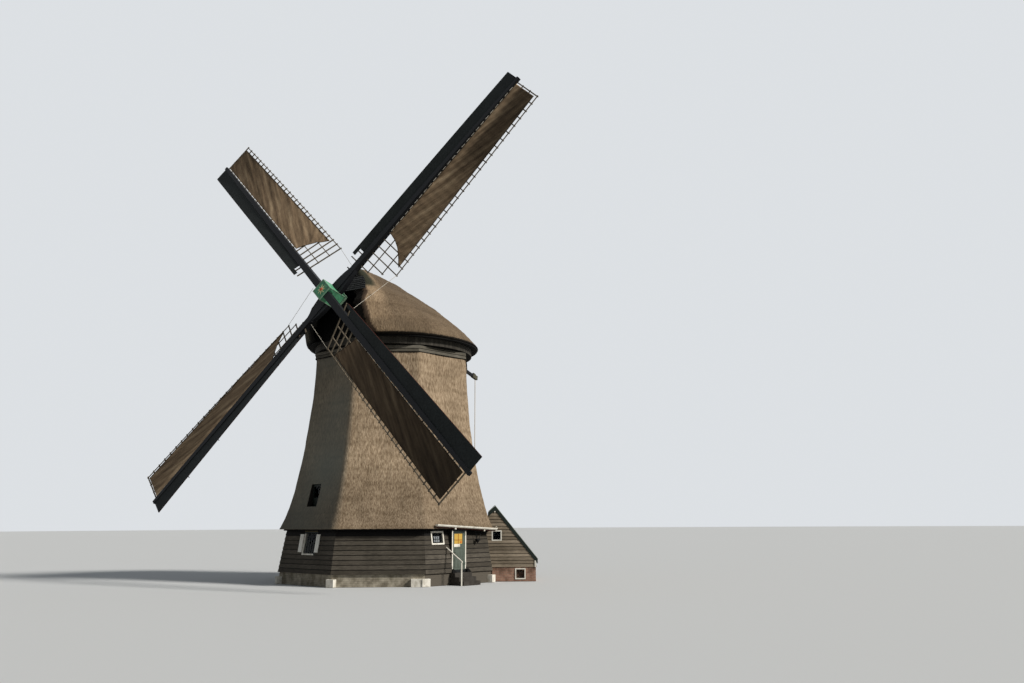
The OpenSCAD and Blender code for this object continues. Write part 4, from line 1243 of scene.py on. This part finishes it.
def annexTrims():
    pale = bmesh.new()
    for side in (-1, 1):
        line = [Vector((x, side * yard["bargeOut"], z)) for x, z in yard["barge"]]
        addChain(pale, line, 0.014)
    makePiece("bargeLines", pale, "paleGreen")
    makeSpans("cornerPost", "whitePaint", "tower", turn(0), yard["post"])
    bm, layers = newBoards()
    place = move(*yard["roof"]) @ turn(annex["slope"], "Y")
    for i in range(yard["planks"]):
        y = -annex["out"] + i * yard["plank"]
        rise = random.uniform(*yard["plankRise"])
        addBoard(bm, layers, place, yard["roofRun"], (y + 0.003, y + 0.152), (0, rise))
    makePiece("roofPlanks", bm, "roofCover")
    makeSpans("cornerStone", "whiteStone", "tower", turn(0), yard["stone"])


annexTrims()

# Iron end of the brake lever, in the cap's axes
lever = {
    "place": (1.05, 5.28, 10.055), "tilt": -15.8, "end": (0.15, 0.4, 0.19),
    "cleat": (0.08, 0.2, 0.07), "cleatPlace": (0, -0.06, 0.12),
    "eye": ((1.05, 5.34, 9.96), (1.05, 5.34, 9.895)),
}


def leverTrims():
    bm = bmesh.new()
    place = capMatrix @ move(*lever["place"]) @ turn(lever["tilt"], "X")
    addBox(bm, place, lever["end"])
    addBox(bm, place, lever["cleat"], lever["cleatPlace"])
    addBar(bm, *[capMatrix @ Vector(end) for end in lever["eye"]], 0.022)
    makePiece("leverEnd", bm, "greyIron", "cap")


leverTrims()
print("trims made")

# CAD nodes: material, slot, bevel width and names
wallNodes = [n for n in nodes if n.startswith("wall_") or n.startswith("door_wall")]
dressing = [
    ("plinthBrick", "masonry", 0, ["plinth"]),
    ("whiteStone", "white_stone", 0.012, ["corner_piers"]),
    # The gable boards and soffit take the near-black tar as painted shade.
    ("blackTar", "tarred_boards", 0, wallNodes + ["gable_boards", "cap_soffit", "cap_ring"]),
    ("bareTimber", "bare_timber", 0.01, ["loft_floor", "cap_beams"]),
    ("innerWood", "grey_paint", 0, ["curb_boards"]),
    ("whitePaint", "white_paint", 0.004, ["gutter", "handrail"]),
    ("frameWhite", "white_paint", 0.004, ["window_frames"]),
    ("postWhite", "white_paint", 0.004, ["door_frame"]),
    ("shutterPaint", "white_paint", 0.004, ["shutter_left", "shutter_right"]),
    ("doorPaint", "green_paint", 0.003, ["door_leaf"]),
    ("yellowGlass", None, 0, ["door_glass"]),
    ("windowGlass", "window_glass", 0, ["window_glass"]),
    ("stairWood", "bare_timber", 0.008, ["stair"]),
    ("annexBrick", "red_brick", 0, ["annex_plinth"]),
    ("innerWood", "tarred_boards", 0, ["annex_front_wall", "annex_back_wall", "annex_eave_wall"]),
    ("innerWood", "roof_cover", 0, ["annex_roof"]),
    ("greenPaint", "green_paint", 0.006, ["annex_barge_boards"]),
    ("stockPaint", "stock_paint", 0.008, ["brake_lever"]),
    ("blackIron", "black_iron", 0.01, ["windshaft"]),
    ("pollPaint", "green_iron", 0.012, ["poll_end"]),
    ("stockPaint", "stock_paint", 0.01, ["stock_outer", "stock_inner"]),
    ("latticeWood", "lattice_wood", 0, ["lattice_" + n for n in sailNames]),
    ("sailBoardPaint", "sail_board_paint", 0.003, ["sail_boards"]),
]
for material, slotName, bevel, names in dressing:
    for name in names:
        node = nodes[name]
        node.data.materials.clear()
        node.data.materials.append(materials[material])
        if bevel:
            node.modifiers.new("weld", "WELD").merge_threshold = 0.0004
            edge = node.modifiers.new("bevel", "BEVEL")
            edge.width = bevel
            edge.segments = 1
            edge.limit_method = "ANGLE"
            edge.angle_limit = radians(40)
print("nodes dressed")

# Floor, light and background
light = {
    "sunAzimuth": 64, "sunHeight": 33, "sun": 3.7, "sunColour": (1.0, 0.965, 0.91), "angle": 9,
    "sky": 0.2, "skyColour": (0.86, 0.93, 1.0, 1), "seen": 0.9,
    "seenColour": (0.8, 0.83, 0.86, 1), "floor": (0.4, 0.4, 0.39, 1),
    "floorSeen": (0.64, 0.65, 0.65, 1), "floorRadius": 400, "floorDrop": 0.01,
}


def makeStudio():
    bm = bmesh.new()
    bmesh.ops.create_circle(bm, cap_ends=True, segments=64, radius=light["floorRadius"])
    floor = makeObject("studioFloor", bm)
    floor.location = (0, 0, -light["floorDrop"])
    made, tree, shader = newMaterial("floorPaint", 0.9)
    seen = addNode(tree, "LightPath").outputs["Is Camera Ray"]
    colour = blendColour(tree, seen, light["floor"], light["floorSeen"])
    tree.links.new(colour, shader.inputs["Base Color"])
    floor.data.materials.append(made)
    sunData = bpy.data.lights.new("sun", "SUN")
    sunData.energy = light["sun"]
    sunData.angle = radians(light["angle"])
    sunData.color = light["sunColour"]
    sunTurn = turn(light["sunAzimuth"]) @ turn(90 - light["sunHeight"], "X")
    linkObject("sun", sunData).rotation_euler = sunTurn.to_euler()
    world = bpy.data.worlds.new("studio")
    world.use_nodes = True
    scene.world = world
    tree = world.node_tree
    tree.nodes.clear()
    path = addNode(tree, "LightPath").outputs
    seen = calculate(tree, "ADD", path["Is Camera Ray"], path["Is Glossy Ray"])
    seen = calculate(tree, "ADD", seen, path["Is Transmission Ray"], True)
    inputs = {0: seen}
    for place, name in enumerate(("sky", "seen"), 1):
        shown = {"Color": light[name + "Colour"], "Strength": light[name]}
        inputs[place] = addNode(tree, "Background", shown).outputs[0]
    both = addNode(tree, "MixShader", inputs).outputs[0]
    addNode(tree, "OutputWorld", {"Surface": both})


makeStudio()
scene.view_settings.view_transform = "Standard"
